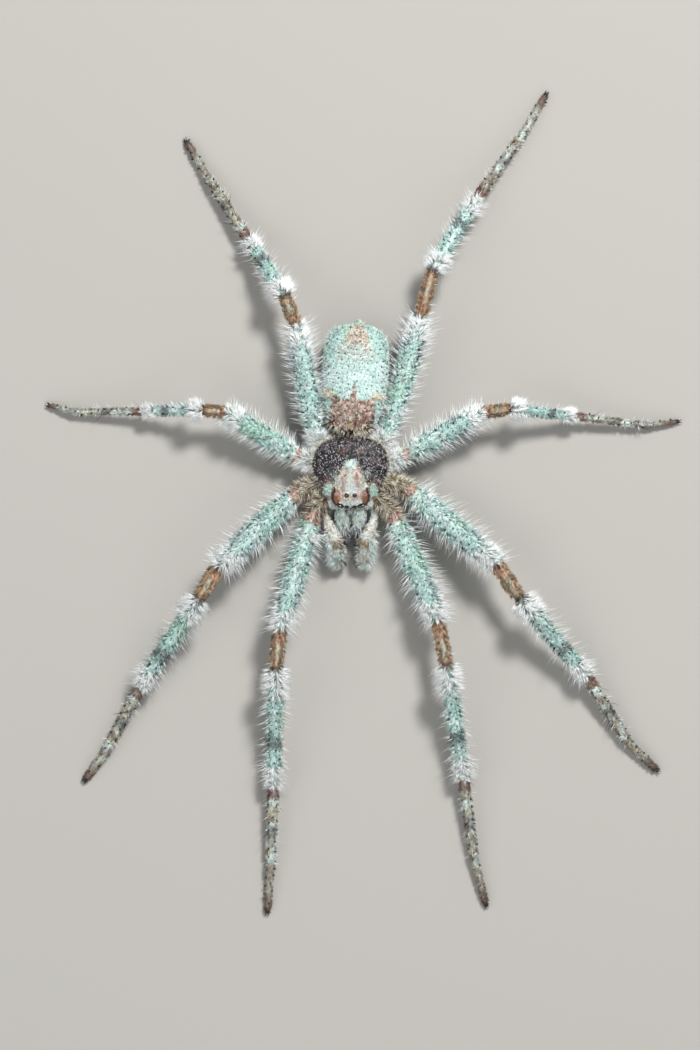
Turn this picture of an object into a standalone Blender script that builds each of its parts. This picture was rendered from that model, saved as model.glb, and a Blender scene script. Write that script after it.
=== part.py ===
"""Huntsman spider, life size, standing flat with its legs spread.

Blender 4.5. Lengths are written in millimetres and angles in degrees, and turned into
metres and radians where a mesh or a direction is made. The head points along -Y, +Z is up,
and the feet stand on z = 0. Left and right are the spider's own: its left side is at +X.
Each solid reaches out to the tips of the coat that covers it.
"""

import math
from dataclasses import dataclass

import bmesh
import bpy
from mathutils import Matrix, Vector

MM = 0.001
UP = Vector((0.0, 0.0, 1.0))

# Gap between two solids that meet, and between an eye and its socket
JOINT_GAP = 0.10
SOCKET_GAP = 0.03

# Where the middle of the head part stands, so that the leg tips are centred on the origin
BODY_AT = Vector((-1.18, 3.06, 0.0))
ABDOMEN_TURN = 4.1

# Sides of each lofted section
LEG_SIDES = 12
BODY_SIDES = 22
SMALL_SIDES = 12

# Head part: carapace above, sternum below, coxae between them
RIM_Z = 2.72
CARAPACE_REAR = 3.12
CARAPACE_FRONT = -3.72
STERNUM_BOTTOM = 1.15
STERNUM_TOP = 2.60

# Distance behind the front of the carapace, half width, height of the dome over the rim
CARAPACE_SECTIONS = (
    (0.00, 1.55, 0.62),
    (0.12, 1.92, 0.98),
    (0.75, 2.32, 1.38),
    (1.75, 2.72, 1.62),
    (2.75, 3.15, 1.74),
    (3.60, 3.58, 1.78),
    (4.40, 3.66, 1.72),
    (5.20, 3.52, 1.56),
    (5.95, 3.22, 1.30),
    (6.45, 2.80, 1.02),
    (6.84, 1.55, 0.55),
)
DOME_POWER = 2.3

# Below 2 a leg's section comes to a blunt edge on each side, where its fringe stands out
LEG_POWER = 1.75

# Distance from the sternum's front end and half width there
STERNUM_SECTIONS = (
    (0.00, 0.55),
    (0.45, 0.95),
    (1.50, 1.32),
    (2.90, 1.36),
    (3.90, 0.98),
    (4.50, 0.42),
)
STERNUM_FRONT = -2.55

# Abdomen: distance behind its front end, half width, half height, height of the middle
ABDOMEN_FRONT = 3.55
ABDOMEN_SECTIONS = (
    (0.00, 1.15, 0.85, 2.72),
    (0.25, 1.92, 1.35, 2.72),
    (1.15, 2.52, 1.68, 2.70),
    (3.00, 2.95, 1.90, 2.68),
    (5.00, 3.14, 1.96, 2.66),
    (6.90, 3.10, 1.88, 2.58),
    (8.60, 2.82, 1.66, 2.42),
    (9.45, 2.26, 1.34, 2.22),
    (9.88, 1.48, 0.95, 2.02),
    (10.02, 0.80, 0.55, 1.90),
)
SPINNERET_LENGTH = 0.40
SPINNERET_RADIUS = 0.50
PEDICEL_RADIUS = 0.36

# Chelicera: forward reach, half width and half height along it, from base to tip
CHELICERA_BASE = Vector((0.80, -3.82, 2.72))
CHELICERA_TIP = Vector((0.66, -6.45, 1.18))
CHELICERA_SECTIONS = (
    (0.00, 0.66, 0.72),
    (0.30, 0.74, 0.82),
    (0.70, 0.66, 0.66),
    (1.00, 0.46, 0.42),
)
FANG_LENGTH = 1.05
FANG_RADIUS = 0.17
FANG_TIP_RADIUS = 0.05
FANG_STATIONS = 6

# Palp: places of its joints on the left side, half width and half height there
PALP_SECTIONS = (
    (Vector((1.95, -4.05, 2.05)), 0.34, 0.36),
    (Vector((2.02, -4.90, 2.45)), 0.55, 0.48),
    (Vector((1.78, -6.00, 2.55)), 0.80, 0.55),
    (Vector((1.50, -7.00, 2.15)), 1.08, 0.62),
    (Vector((1.40, -8.10, 1.50)), 1.22, 0.66),
    (Vector((1.40, -8.95, 0.98)), 1.05, 0.58),
    (Vector((1.40, -9.50, 0.72)), 0.60, 0.38),
)

# Eyes on the left side: across, along, radius, and the share of the eye that stands proud
EYES = {
    "eye_ame": (0.33, -3.46, 0.19, 0.55),
    "eye_ale": (1.00, -3.26, 0.25, 0.50),
    "eye_pme": (0.36, -2.38, 0.19, 0.45),
    "eye_ple": (1.60, -2.10, 0.23, 0.50),
}


@dataclass(frozen=True)
class LegPair:
    """What the two legs of a pair share, in millimetres."""

    coxa_inner: tuple  # across and along, where the coxa meets the sternum
    joint_z: tuple  # height of hip, knee, tibia start, ankle, tarsus start and tip
    breadth: float  # factor on the widths of the sections


PAIRS = {
    1: LegPair((1.85, -2.00), (2.10, 4.30, 4.55, 1.75, 0.75, 0.30), 1.00),
    2: LegPair((2.00, -0.80), (2.10, 4.40, 4.60, 1.75, 0.75, 0.30), 1.04),
    3: LegPair((2.00, 0.45), (2.10, 3.75, 3.90, 1.60, 0.70, 0.30), 0.86),
    4: LegPair((1.90, 1.62), (2.10, 4.20, 4.40, 1.70, 0.75, 0.30), 0.84),
}

# Each leg: hip across and along, then for femur, patella, tibia, metatarsus and tarsus
# its reach seen from above and its heading, counted from +X towards +Y
LEGS = {
    "r1": ((-3.50, -3.93), ((11.46, -105.7), (3.57, -96.2), (11.13, -91.2),
                            (7.86, -92.4), (4.13, -93.9))),
    "r2": ((-4.83, -1.96), ((10.35, -136.6), (3.41, -121.5), (10.10, -123.7),
                            (6.93, -118.5), (3.37, -126.5))),
    "r3": ((-4.64, 1.03), ((8.13, 148.1), (2.17, 173.0), (5.71, -179.1),
                           (6.73, 180.0), (2.43, 164.4))),
    "r4": ((-3.24, 3.09), ((10.55, 100.2), (2.87, 110.9), (6.32, 122.3),
                           (7.35, 123.1), (3.91, 120.2))),
    "l1": ((3.86, -3.93), ((11.06, -67.1), (4.09, -79.5), (10.97, -81.2),
                           (7.74, -82.3), (4.44, -75.4))),
    "l2": ((5.17, -1.59), ((11.08, -40.5), (3.87, -55.4), (9.79, -49.5),
                           (7.31, -57.5), (3.90, -44.0))),
    "l3": ((4.80, 1.22), ((8.53, 28.8), (2.55, 8.4), (6.30, -6.0),
                          (6.78, -7.1), (3.11, 6.9))),
    "l4": ((3.40, 3.18), ((11.57, 74.1), (4.33, 76.3), (8.09, 58.7),
                          (8.06, 54.5), (3.93, 60.8))),
}

# Sections along each leg piece: share of its length, half width, half height
FEMUR = ((0.00, 0.62, 0.55), (0.12, 1.10, 0.76), (0.45, 1.55, 0.88),
         (0.80, 1.75, 0.88), (0.93, 1.45, 0.74), (1.00, 0.62, 0.54))
PATELLA = ((0.00, 0.58, 0.52), (0.50, 0.66, 0.58), (1.00, 0.56, 0.50))
TIBIA = ((0.00, 0.56, 0.50), (0.10, 1.80, 0.76), (0.32, 1.50, 0.74),
         (0.62, 1.05, 0.64), (0.86, 1.30, 0.66), (1.00, 0.48, 0.44))
METATARSUS = ((0.00, 0.48, 0.42), (0.12, 0.66, 0.48), (0.88, 0.54, 0.42))
TARSUS = ((0.00, 0.50, 0.44), (0.50, 0.46, 0.42), (0.88, 0.38, 0.40), (1.00, 0.27, 0.34))
COXA = ((0.00, 0.48, 0.50), (0.55, 0.56, 0.56), (1.00, 0.54, 0.52))

# Colour, roughness and metallic value of each material
FINISHES = {
    "carapace_dark": ((0.105, 0.075, 0.080), 0.70, 0.0),
    "coat_mint": ((0.560, 0.680, 0.610), 0.80, 0.0),
    "coat_brown": ((0.300, 0.190, 0.140), 0.75, 0.0),
    "leg_base": ((0.350, 0.300, 0.220), 0.75, 0.0),
    "jaw_grey": ((0.330, 0.340, 0.310), 0.65, 0.0),
    "fang_black": ((0.020, 0.014, 0.012), 0.25, 0.0),
    "eye_black": ((0.010, 0.008, 0.008), 0.05, 0.0),
}


def clear_scene():
    """Remove every object that the open file holds."""
    for old in list(bpy.data.objects):
        bpy.data.objects.remove(old, do_unlink=True)


def make_material(name):
    """Make one of the finishes as a Principled material."""
    colour, roughness, metallic = FINISHES[name]
    material = bpy.data.materials.new(name)
    material.use_nodes = True
    shader = material.node_tree.nodes["Principled BSDF"]
    shader.inputs["Base Color"].default_value = (*colour, 1.0)
    shader.inputs["Roughness"].default_value = roughness
    shader.inputs["Metallic"].default_value = metallic
    material.diffuse_color = (*colour, 1.0)
    return material


def make_object(name, bm, finish):
    """Turn a finished bmesh into a named object with a material of its own."""
    bmesh.ops.recalc_face_normals(bm, faces=bm.faces[:])
    mesh = bpy.data.meshes.new(name)
    bm.to_mesh(mesh)
    bm.free()
    mesh.shade_smooth()
    mesh.set_sharp_from_angle(angle=math.radians(50.0))
    mesh.materials.append(make_material(finish))
    thing = bpy.data.objects.new(name, mesh)
    bpy.context.scene.collection.objects.link(thing)
    return thing


def oval_point(angle, half_width, half_height, power=2.0):
    """Give the point at an angle on an oval whose corners fill out as the power grows."""
    cosine, sine = math.cos(angle), math.sin(angle)
    across = math.copysign(abs(cosine) ** (2.0 / power), cosine) * half_width
    upward = math.copysign(abs(sine) ** (2.0 / power), sine) * half_height
    return across, upward


def add_ring(bm, centre, side, up, half_width, half_height, sides, power=2.0):
    """Add one closed section of a loft, with no point of it under the floor."""
    verts = []
    for step in range(sides):
        angle = 2.0 * math.pi * (step + 0.5) / sides
        across, upward = oval_point(angle, half_width, half_height, power)
        point = centre + side * across + up * upward
        point.z = max(point.z, 0.0)
        verts.append(bm.verts.new(point * MM))
    edges = [bm.edges.new((a, b)) for a, b in zip(verts, verts[1:] + verts[:1])]
    return verts, edges


def skin_rings(bm, rings):
    """Bridge each ring to the next and close both ends."""
    for (_, near), (_, far) in zip(rings, rings[1:]):
        bmesh.ops.bridge_loops(bm, edges=near + far)
    bm.faces.new(rings[0][0])
    bm.faces.new(rings[-1][0])
    bmesh.ops.triangulate(bm, faces=bm.faces[:])


def frame_along(direction):
    """Give the level sideways direction and the upward one of a piece that runs this way."""
    side = direction.cross(UP).normalized()
    return side, side.cross(direction).normalized()


def flatten_to_plane(ring, along, point, normal):
    """Slide a ring's points along a direction until they lie in a plane."""
    for vert in ring[0]:
        gap = (point * MM - vert.co).dot(normal) / along.dot(normal)
        vert.co += along * gap


def leg_joints(name):
    """Work out a leg's joints in space, from the coxa's inner end to the tip."""
    pair = PAIRS[int(name[1])]
    (hip_x, hip_y), pieces = LEGS[name]
    mirror = 1.0 if name[0] == "l" else -1.0
    inner_x, inner_y = pair.coxa_inner
    joints = [Vector((inner_x * mirror, inner_y, pair.joint_z[0] - 0.22)) + BODY_AT]
    place = Vector((hip_x, hip_y, 0.0)) + BODY_AT
    joints.append(Vector((place.x, place.y, pair.joint_z[0])))
    for (reach, heading), height in zip(pieces, pair.joint_z[1:]):
        turn = math.radians(heading)
        place = place + Vector((math.cos(turn), math.sin(turn), 0.0)) * reach
        joints.append(Vector((place.x, place.y, height)))
    return joints


def joint_planes(joints):
    """Give the plane that halves the bend at each joint, square to the leg at its ends."""
    runs = [(b - a).normalized() for a, b in zip(joints, joints[1:])]
    before = [runs[0]] + runs
    after = runs + [runs[-1]]
    return [(a + b).normalized() for a, b in zip(before, after)]


def make_leg_piece(name, joints, planes, spans, breadth, finish):
    """Loft a leg piece over one or more spans of the leg, mitred where the spans meet.

    Each span is the number of its first joint and its sections.
    """
    bm = bmesh.new()
    rings = []
    first, last = spans[0][0], spans[-1][0] + 1
    leg_tip = len(joints) - 1
    for start, sections in spans:
        begin, end = joints[start], joints[start + 1]
        along = (end - begin).normalized()
        side, up = frame_along(along)
        for share, half_width, half_height in sections:
            centre = begin.lerp(end, share)
            ring = add_ring(bm, centre, side, up, half_width * breadth,
                            half_height, LEG_SIDES, LEG_POWER)
            if share == 0.0:
                shift = planes[start] * (JOINT_GAP / 2.0 if start == first else 0.0)
                flatten_to_plane(ring, along, begin + shift, planes[start])
            elif share == 1.0 and start + 1 < leg_tip:
                shift = planes[start + 1] * (JOINT_GAP / 2.0 if start + 1 == last else 0.0)
                flatten_to_plane(ring, along, end - shift, planes[start + 1])
            rings.append(ring)
    for vert in bm.verts:
        vert.co.z = max(vert.co.z, 0.0)
    skin_rings(bm, rings)
    return make_object(name, bm, finish)


def make_leg(name):
    """Make the five solids of one leg."""
    joints = leg_joints(name)
    planes = joint_planes(joints)
    breadth = PAIRS[int(name[1])].breadth
    title = f"leg{name[1]}_{'left' if name[0] == 'l' else 'right'}"
    make_leg_piece(f"{title}_coxa", joints, planes, [(0, COXA)], 1.0, "leg_base")
    make_leg_piece(f"{title}_femur", joints, planes, [(1, FEMUR)], breadth, "coat_mint")
    make_leg_piece(f"{title}_patella", joints, planes, [(2, PATELLA)], breadth, "coat_brown")
    make_leg_piece(f"{title}_tibia", joints, planes, [(3, TIBIA)], breadth, "coat_mint")
    make_leg_piece(f"{title}_foot", joints, planes, [(4, METATARSUS), (5, TARSUS)],
                   breadth, "coat_brown")


def dome_height(half_width, height, across):
    """Give the height of a dome section at a distance across from its middle."""
    share = min(abs(across) / half_width, 1.0)
    return height * (1.0 - share ** DOME_POWER) ** (1.0 / DOME_POWER)


def carapace_top(across, along):
    """Give the height of the carapace over the floor at a place seen from above."""
    distance = along - CARAPACE_FRONT
    for near, far in zip(CARAPACE_SECTIONS, CARAPACE_SECTIONS[1:]):
        if near[0] <= distance <= far[0]:
            share = (distance - near[0]) / (far[0] - near[0])
            half_width = near[1] + (far[1] - near[1]) * share
            height = near[2] + (far[2] - near[2]) * share
            return RIM_Z + dome_height(half_width, height, across)
    raise ValueError(f"no carapace at {along}")


def make_eye_ball(name, across, along, radius, proud, finish="eye_black"):
    """Make one eye, sunk in the carapace but for the share that stands proud."""
    surface = carapace_top(across, along)
    centre = Vector((across, along, surface + radius * (2.0 * proud - 1.0))) + BODY_AT
    bm = bmesh.new()
    bmesh.ops.create_uvsphere(bm, u_segments=10, v_segments=6, radius=radius * MM,
                              matrix=Matrix.Translation(centre * MM))
    bmesh.ops.triangulate(bm, faces=bm.faces[:])
    return make_object(name, bm, finish)


def cut_socket(shell, name, across, along, radius, proud):
    """Cut the socket of one eye out of the carapace."""
    cutter = make_eye_ball(f"{name}_cutter", across, along, radius + SOCKET_GAP, proud)
    surface_shift = SOCKET_GAP * (2.0 * proud - 1.0)
    for vert in cutter.data.vertices:
        vert.co.z -= surface_shift * MM
    cutter.hide_render = True
    cutter.display_type = "WIRE"
    cut = shell.modifiers.new(f"{name}_socket", "BOOLEAN")
    cut.operation = "DIFFERENCE"
    cut.object = cutter


def make_carapace():
    """Make the domed shield of the head part, with a socket for each eye."""
    bm = bmesh.new()
    rings = []
    for distance, half_width, height in CARAPACE_SECTIONS:
        verts = []
        for step in range(BODY_SIDES):
            angle = math.pi * step / (BODY_SIDES - 1)
            across, upward = oval_point(angle, half_width, height, DOME_POWER)
            place = Vector((across, CARAPACE_FRONT + distance, RIM_Z + upward)) + BODY_AT
            verts.append(bm.verts.new(place * MM))
        edges = [bm.edges.new((a, b)) for a, b in zip(verts, verts[1:] + verts[:1])]
        rings.append((verts, edges))
    skin_rings(bm, rings)
    shell = make_object("carapace", bm, "carapace_dark")
    for eye, (across, along, radius, proud) in EYES.items():
        for mirror, side in ((1.0, "left"), (-1.0, "right")):
            make_eye_ball(f"{eye}_{side}", across * mirror, along, radius, proud)
            cut_socket(shell, f"{eye}_{side}", across * mirror, along, radius, proud)


def make_sternum():
    """Make the plate between the coxae on the underside."""
    bm = bmesh.new()
    middle = (STERNUM_TOP + STERNUM_BOTTOM) / 2.0
    half_height = (STERNUM_TOP - STERNUM_BOTTOM) / 2.0
    rings = []
    for distance, half_width in STERNUM_SECTIONS:
        centre = Vector((0.0, STERNUM_FRONT + distance, middle)) + BODY_AT
        share = 1.0 if 0.0 < distance < STERNUM_SECTIONS[-1][0] else 0.7
        rings.append(add_ring(bm, centre, Vector((1.0, 0.0, 0.0)), UP, half_width,
                              half_height * share, SMALL_SIDES, 2.6))
    skin_rings(bm, rings)
    make_object("sternum", bm, "leg_base")


def abdomen_frame():
    """Give the abdomen's front point and its backward and sideways directions."""
    turn = math.radians(ABDOMEN_TURN)
    back = Vector((math.sin(turn), math.cos(turn), 0.0))
    side = Vector((math.cos(turn), -math.sin(turn), 0.0))
    return Vector((0.0, ABDOMEN_FRONT, 0.0)) + BODY_AT, back, side


def make_abdomen():
    """Make the abdomen, its spinnerets and the pedicel that carries it."""
    front, back, side = abdomen_frame()
    bm = bmesh.new()
    rings = []
    for distance, half_width, half_height, middle in ABDOMEN_SECTIONS:
        centre = front + back * distance + UP * middle
        rings.append(add_ring(bm, centre, side, UP, half_width, half_height,
                              BODY_SIDES, 2.15))
    skin_rings(bm, rings)
    make_object("abdomen", bm, "coat_mint")

    bm = bmesh.new()
    rear = ABDOMEN_SECTIONS[-1]
    rings = []
    for share, swell in ((0.0, 0.9), (0.5, 1.0), (1.0, 0.55)):
        distance = rear[0] + JOINT_GAP + SPINNERET_LENGTH * share
        centre = front + back * distance + UP * (rear[3] - 0.25 * share)
        rings.append(add_ring(bm, centre, side, UP, SPINNERET_RADIUS * 1.3 * swell,
                              SPINNERET_RADIUS * 0.8 * swell, SMALL_SIDES))
    skin_rings(bm, rings)
    make_object("spinnerets", bm, "coat_brown")

    bm = bmesh.new()
    rings = []
    for along in (CARAPACE_REAR + JOINT_GAP, ABDOMEN_FRONT - JOINT_GAP):
        centre = Vector((0.0, along, 3.0)) + BODY_AT
        rings.append(add_ring(bm, centre, Vector((1.0, 0.0, 0.0)), UP, PEDICEL_RADIUS,
                              PEDICEL_RADIUS * 0.7, SMALL_SIDES))
    skin_rings(bm, rings)
    make_object("pedicel", bm, "carapace_dark")


def loft_between(name, stations, finish):
    """Loft a solid through (centre, half width, half height) stations."""
    bm = bmesh.new()
    centres = [station[0] for station in stations]
    planes = joint_planes(centres)
    rings = []
    for (centre, half_width, half_height), normal in zip(stations, planes):
        side, up = frame_along(normal)
        rings.append(add_ring(bm, centre, side, up, half_width, half_height, SMALL_SIDES))
    skin_rings(bm, rings)
    make_object(name, bm, finish)


def mirrored(point, mirror):
    """Put a point of the left side on the side asked for, in the part's own frame."""
    return Vector((point.x * mirror, point.y, point.z)) + BODY_AT


def make_jaw(side_name, mirror):
    """Make one chelicera and the fang folded across its tip."""
    stations = [
        (mirrored(CHELICERA_BASE.lerp(CHELICERA_TIP, share), mirror), half_width, half_height)
        for share, half_width, half_height in CHELICERA_SECTIONS
    ]
    loft_between(f"chelicera_{side_name}", stations, "jaw_grey")

    begin = CHELICERA_TIP + Vector((0.10, -0.26, -0.30))
    stations = []
    for step in range(FANG_STATIONS):
        share = step / (FANG_STATIONS - 1)
        turn = math.radians(20.0 + 95.0 * share)
        radius = FANG_RADIUS + (FANG_TIP_RADIUS - FANG_RADIUS) * share
        stations.append((mirrored(begin, mirror), radius, radius))
        run = Vector((-math.sin(turn), -math.cos(turn), -0.35 * math.sin(turn)))
        begin = begin + run * (FANG_LENGTH / (FANG_STATIONS - 1)) * 0.62
    loft_between(f"fang_{side_name}", stations, "fang_black")


def make_palp(side_name, mirror):
    """Make one palp, bent down in front of the jaws."""
    stations = [(mirrored(place, mirror), half_width, half_height)
                for place, half_width, half_height in PALP_SECTIONS]
    loft_between(f"palp_{side_name}", stations, "coat_mint")


def main():
    """Build the whole spider."""
    clear_scene()
    make_carapace()
    make_sternum()
    make_abdomen()
    for side_name, mirror in (("left", 1.0), ("right", -1.0)):
        make_jaw(side_name, mirror)
        make_palp(side_name, mirror)
    for name in LEGS:
        make_leg(name)


main()
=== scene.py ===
"""The looks of a life-size lichen huntsman spider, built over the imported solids.

Lengths are written in millimetres and made metres when a mesh is finished. The head points
along -Y, +Z is up, and left and right are the spider's own, so its left side is at +X.
One closed skin covers all flesh. Over it lie tufts of closed, tapering hairs, whose lie,
length and colour come from the same rules that paint the skin under them.
"""

from __future__ import annotations

import logging
import math
from dataclasses import dataclass, field
from enum import Enum
from typing import Callable

import bmesh
import bpy
import numpy as np
from mathutils import Matrix, Vector
from mathutils.kdtree import KDTree

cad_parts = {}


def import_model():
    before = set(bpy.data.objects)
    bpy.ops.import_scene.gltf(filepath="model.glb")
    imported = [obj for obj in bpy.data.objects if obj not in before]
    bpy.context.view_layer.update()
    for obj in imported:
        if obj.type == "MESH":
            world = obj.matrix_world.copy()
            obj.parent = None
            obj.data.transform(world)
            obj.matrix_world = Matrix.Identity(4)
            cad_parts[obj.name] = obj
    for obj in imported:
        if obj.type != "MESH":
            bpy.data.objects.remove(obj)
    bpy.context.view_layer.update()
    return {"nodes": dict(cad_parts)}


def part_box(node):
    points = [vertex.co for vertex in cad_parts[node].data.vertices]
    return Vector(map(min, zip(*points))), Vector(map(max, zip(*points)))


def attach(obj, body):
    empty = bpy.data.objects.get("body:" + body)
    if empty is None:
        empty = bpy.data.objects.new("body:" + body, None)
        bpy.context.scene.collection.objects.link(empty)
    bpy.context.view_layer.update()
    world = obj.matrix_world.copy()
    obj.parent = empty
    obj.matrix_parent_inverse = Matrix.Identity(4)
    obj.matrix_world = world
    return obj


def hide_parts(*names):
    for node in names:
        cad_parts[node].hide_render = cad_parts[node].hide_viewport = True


LOG = logging.getLogger("huntsman")
Array = np.ndarray

MM = 0.001
SEED = 4107
BODY = "root"
UP = np.array((0.0, 0.0, 1.0))
FORWARD = np.array((0.0, -1.0, 0.0))
# Grid of the remesh that melts all limbs into one skin, in mm
SKIN_VOXEL = 0.145
# Painted shade on the bare skin: how far its markings are darkened, more under fur, where the
# hairs shade it, and less where the coat is thin
FUR_PAINTED_SHADE, THIN_COAT_PAINTED_SHADE = 0.66, 0.85
# How deep a hair is rooted in the skin, in mm
ROOT_DEPTH = 0.03
# The lightest a hair may be
WHITEST = 0.97
# Side of the patch that one hair takes in the OFBake map, and the margin round each strip
UV_PATCH, UV_MARGIN = 0.003, 0.02
# Places on the head, across and behind its middle, in mm
LOBE, REAR_CHEEK, FRONT_CHEEK = (1.34, -2.55), (2.12, -1.85), (1.78, -3.35)


def linear(red: int, green: int, blue: int) -> Array:
    """Turn a colour as a screen shows it, 0 to 255, into linear light."""
    share = np.array((red, green, blue), float) / 255.0
    return np.where(share <= 0.04045, share / 12.92, ((share + 0.055) / 1.055) ** 2.4)


MINT = linear(197, 229, 221)
MINT_PALE = linear(232, 248, 244)
MINT_GREEN = linear(190, 232, 208)
WHITE = linear(250, 253, 250)
CREAM = linear(236, 228, 208)
TAN = linear(198, 164, 128)
PINK_TAN = linear(208, 168, 152)
PINK = linear(206, 170, 164)
RUST = linear(128, 74, 58)
BROWN = linear(110, 78, 66)
OLIVE = linear(146, 134, 108)
GREY_GREEN = linear(176, 190, 178)
STRAW = linear(200, 198, 178)
LAVENDER = linear(186, 188, 200)
PLUM = linear(70, 56, 60)
DARK = linear(34, 36, 36)
DOT = linear(46, 62, 58)
SPECKLE = linear(214, 210, 214)
SHADE = linear(22, 19, 22)
AMBER = linear(96, 66, 42)
PITCH = linear(22, 14, 12)


def unit(vectors: Array) -> Array:
    """Scale each vector to length one."""
    size = np.linalg.norm(vectors, axis=-1, keepdims=True)
    return vectors / np.maximum(size, 1e-9)


def smooth(low: float, high: float, value: Array) -> Array:
    """Rise smoothly from 0 at low to 1 at high, or fall where low is above high."""
    share = np.clip((value - low) / (high - low), 0.0, 1.0)
    return share * share * (3.0 - 2.0 * share)


def band(value: Array, start: float, end: float, edge: float) -> Array:
    """Give 1 between start and end, with soft edges of the width given."""
    return smooth(start - edge, start + edge, value) * smooth(end + edge, end - edge, value)


def mix(under: Array, over: Array, share: Array) -> Array:
    """Lay one colour over another by a share for each row."""
    return under + (over - under) * np.asarray(share)[..., None]


def hashed(cells: Array, seed: int) -> Array:
    """Give a steady random number for each whole-number cell.

    Args:
        cells: places of the cells, three numbers in each row.
        seed: picks one of many such fields.

    Returns:
        A number from 0 to 1 for each cell.
    """
    # The large odd numbers scatter neighbouring cells far apart
    whole = cells.astype(np.int64)
    mixed = whole[..., 0] * 73856093 ^ whole[..., 1] * 19349663 ^ whole[..., 2] * 83492791
    mixed = (mixed ^ (seed * 2654435761)) & 0xFFFFFFFF
    mixed = ((mixed ^ (mixed >> 15)) * 2246822519) & 0xFFFFFFFF
    mixed = ((mixed ^ (mixed >> 13)) * 3266489917) & 0xFFFFFFFF
    return (mixed ^ (mixed >> 16)) / 4294967295.0


def oval(across: Array, back: Array, centre: tuple, sizes: tuple) -> Array:
    """Measure places against an oval, with 1 on its edge and 0 at its centre."""
    return np.hypot((across - centre[0]) / sizes[0], (back - centre[1]) / sizes[1])


def cloud(points: Array, size: float, seed: int) -> Array:
    """Give soft random values that change from place to place.

    Args:
        points: places in mm, one row each.
        size: the distance over which the values change, in mm.
        seed: picks one of many such fields.

    Returns:
        A value from 0 to 1 for each place.
    """
    scaled = points / size
    base = np.floor(scaled)
    part = scaled - base
    part = part * part * (3.0 - 2.0 * part)
    total = np.zeros(len(points))
    for corner in np.ndindex(2, 2, 2):
        offset = np.array(corner)
        weight = np.prod(np.where(offset == 1, part, 1.0 - part), axis=-1)
        total += weight * hashed(base + offset, seed)
    return total


def dots(points: Array, spacing: float, radius: float, seed: int) -> Array:
    """Scatter dots, about one to a cell of a grid.

    Args:
        points: places in mm, one row each.
        spacing: side of a cell, in mm.
        radius: radius of a dot, in mm.
        seed: picks one of many such scatters.

    Returns:
        A share for each place: 1 inside a dot and 0 between them.
    """
    base = np.floor(points / spacing)
    nearest = np.full(len(points), 1e9)
    for corner in np.ndindex(3, 3, 3):
        cell = base + np.array(corner) - 1
        jitter = np.stack([hashed(cell, seed + axis) for axis in range(3)], axis=-1)
        gap = np.linalg.norm((cell + jitter) * spacing - points, axis=-1)
        nearest = np.minimum(nearest, gap)
    return smooth(radius, radius * 0.55, nearest)


def layered(points: Array, ground: Array, *marks: tuple) -> Array:
    """Lay marks over a ground, one after another.

    Args:
        points: the places that are painted, one row each.
        ground: one colour, or a colour for each place.
        marks: pairs of a colour and its share at each place.

    Returns:
        A linear colour for each place.
    """
    tint = np.broadcast_to(ground, points.shape)
    for colour, share in marks:
        tint = mix(tint, colour, share)
    return tint


def put_in_scene(name: str, data: bpy.types.ID) -> bpy.types.Object:
    """Make an object of a mesh, a lamp or a camera and link it to the scene.

    Args:
        name: the object's name.
        data: what it shows.

    Returns:
        The object.
    """
    thing = bpy.data.objects.new(name, data)
    bpy.context.scene.collection.objects.link(thing)
    return thing


@dataclass(frozen=True)
class Place:
    """Where points lie on a limb, one row for each point."""

    along: Array
    side: Array
    rise: Array
    measure: Array
    span: Array
    share: Array
    run: Array
    across: Array

    @property
    def angle(self) -> Array:
        """Angle round the limb, 0 at its left side and a quarter turn on top."""
        return np.arctan2(self.rise, self.side)

    @property
    def crest(self) -> Array:
        """How near the top of the limb, 1 on top and -1 below."""
        return np.sin(self.angle)


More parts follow.
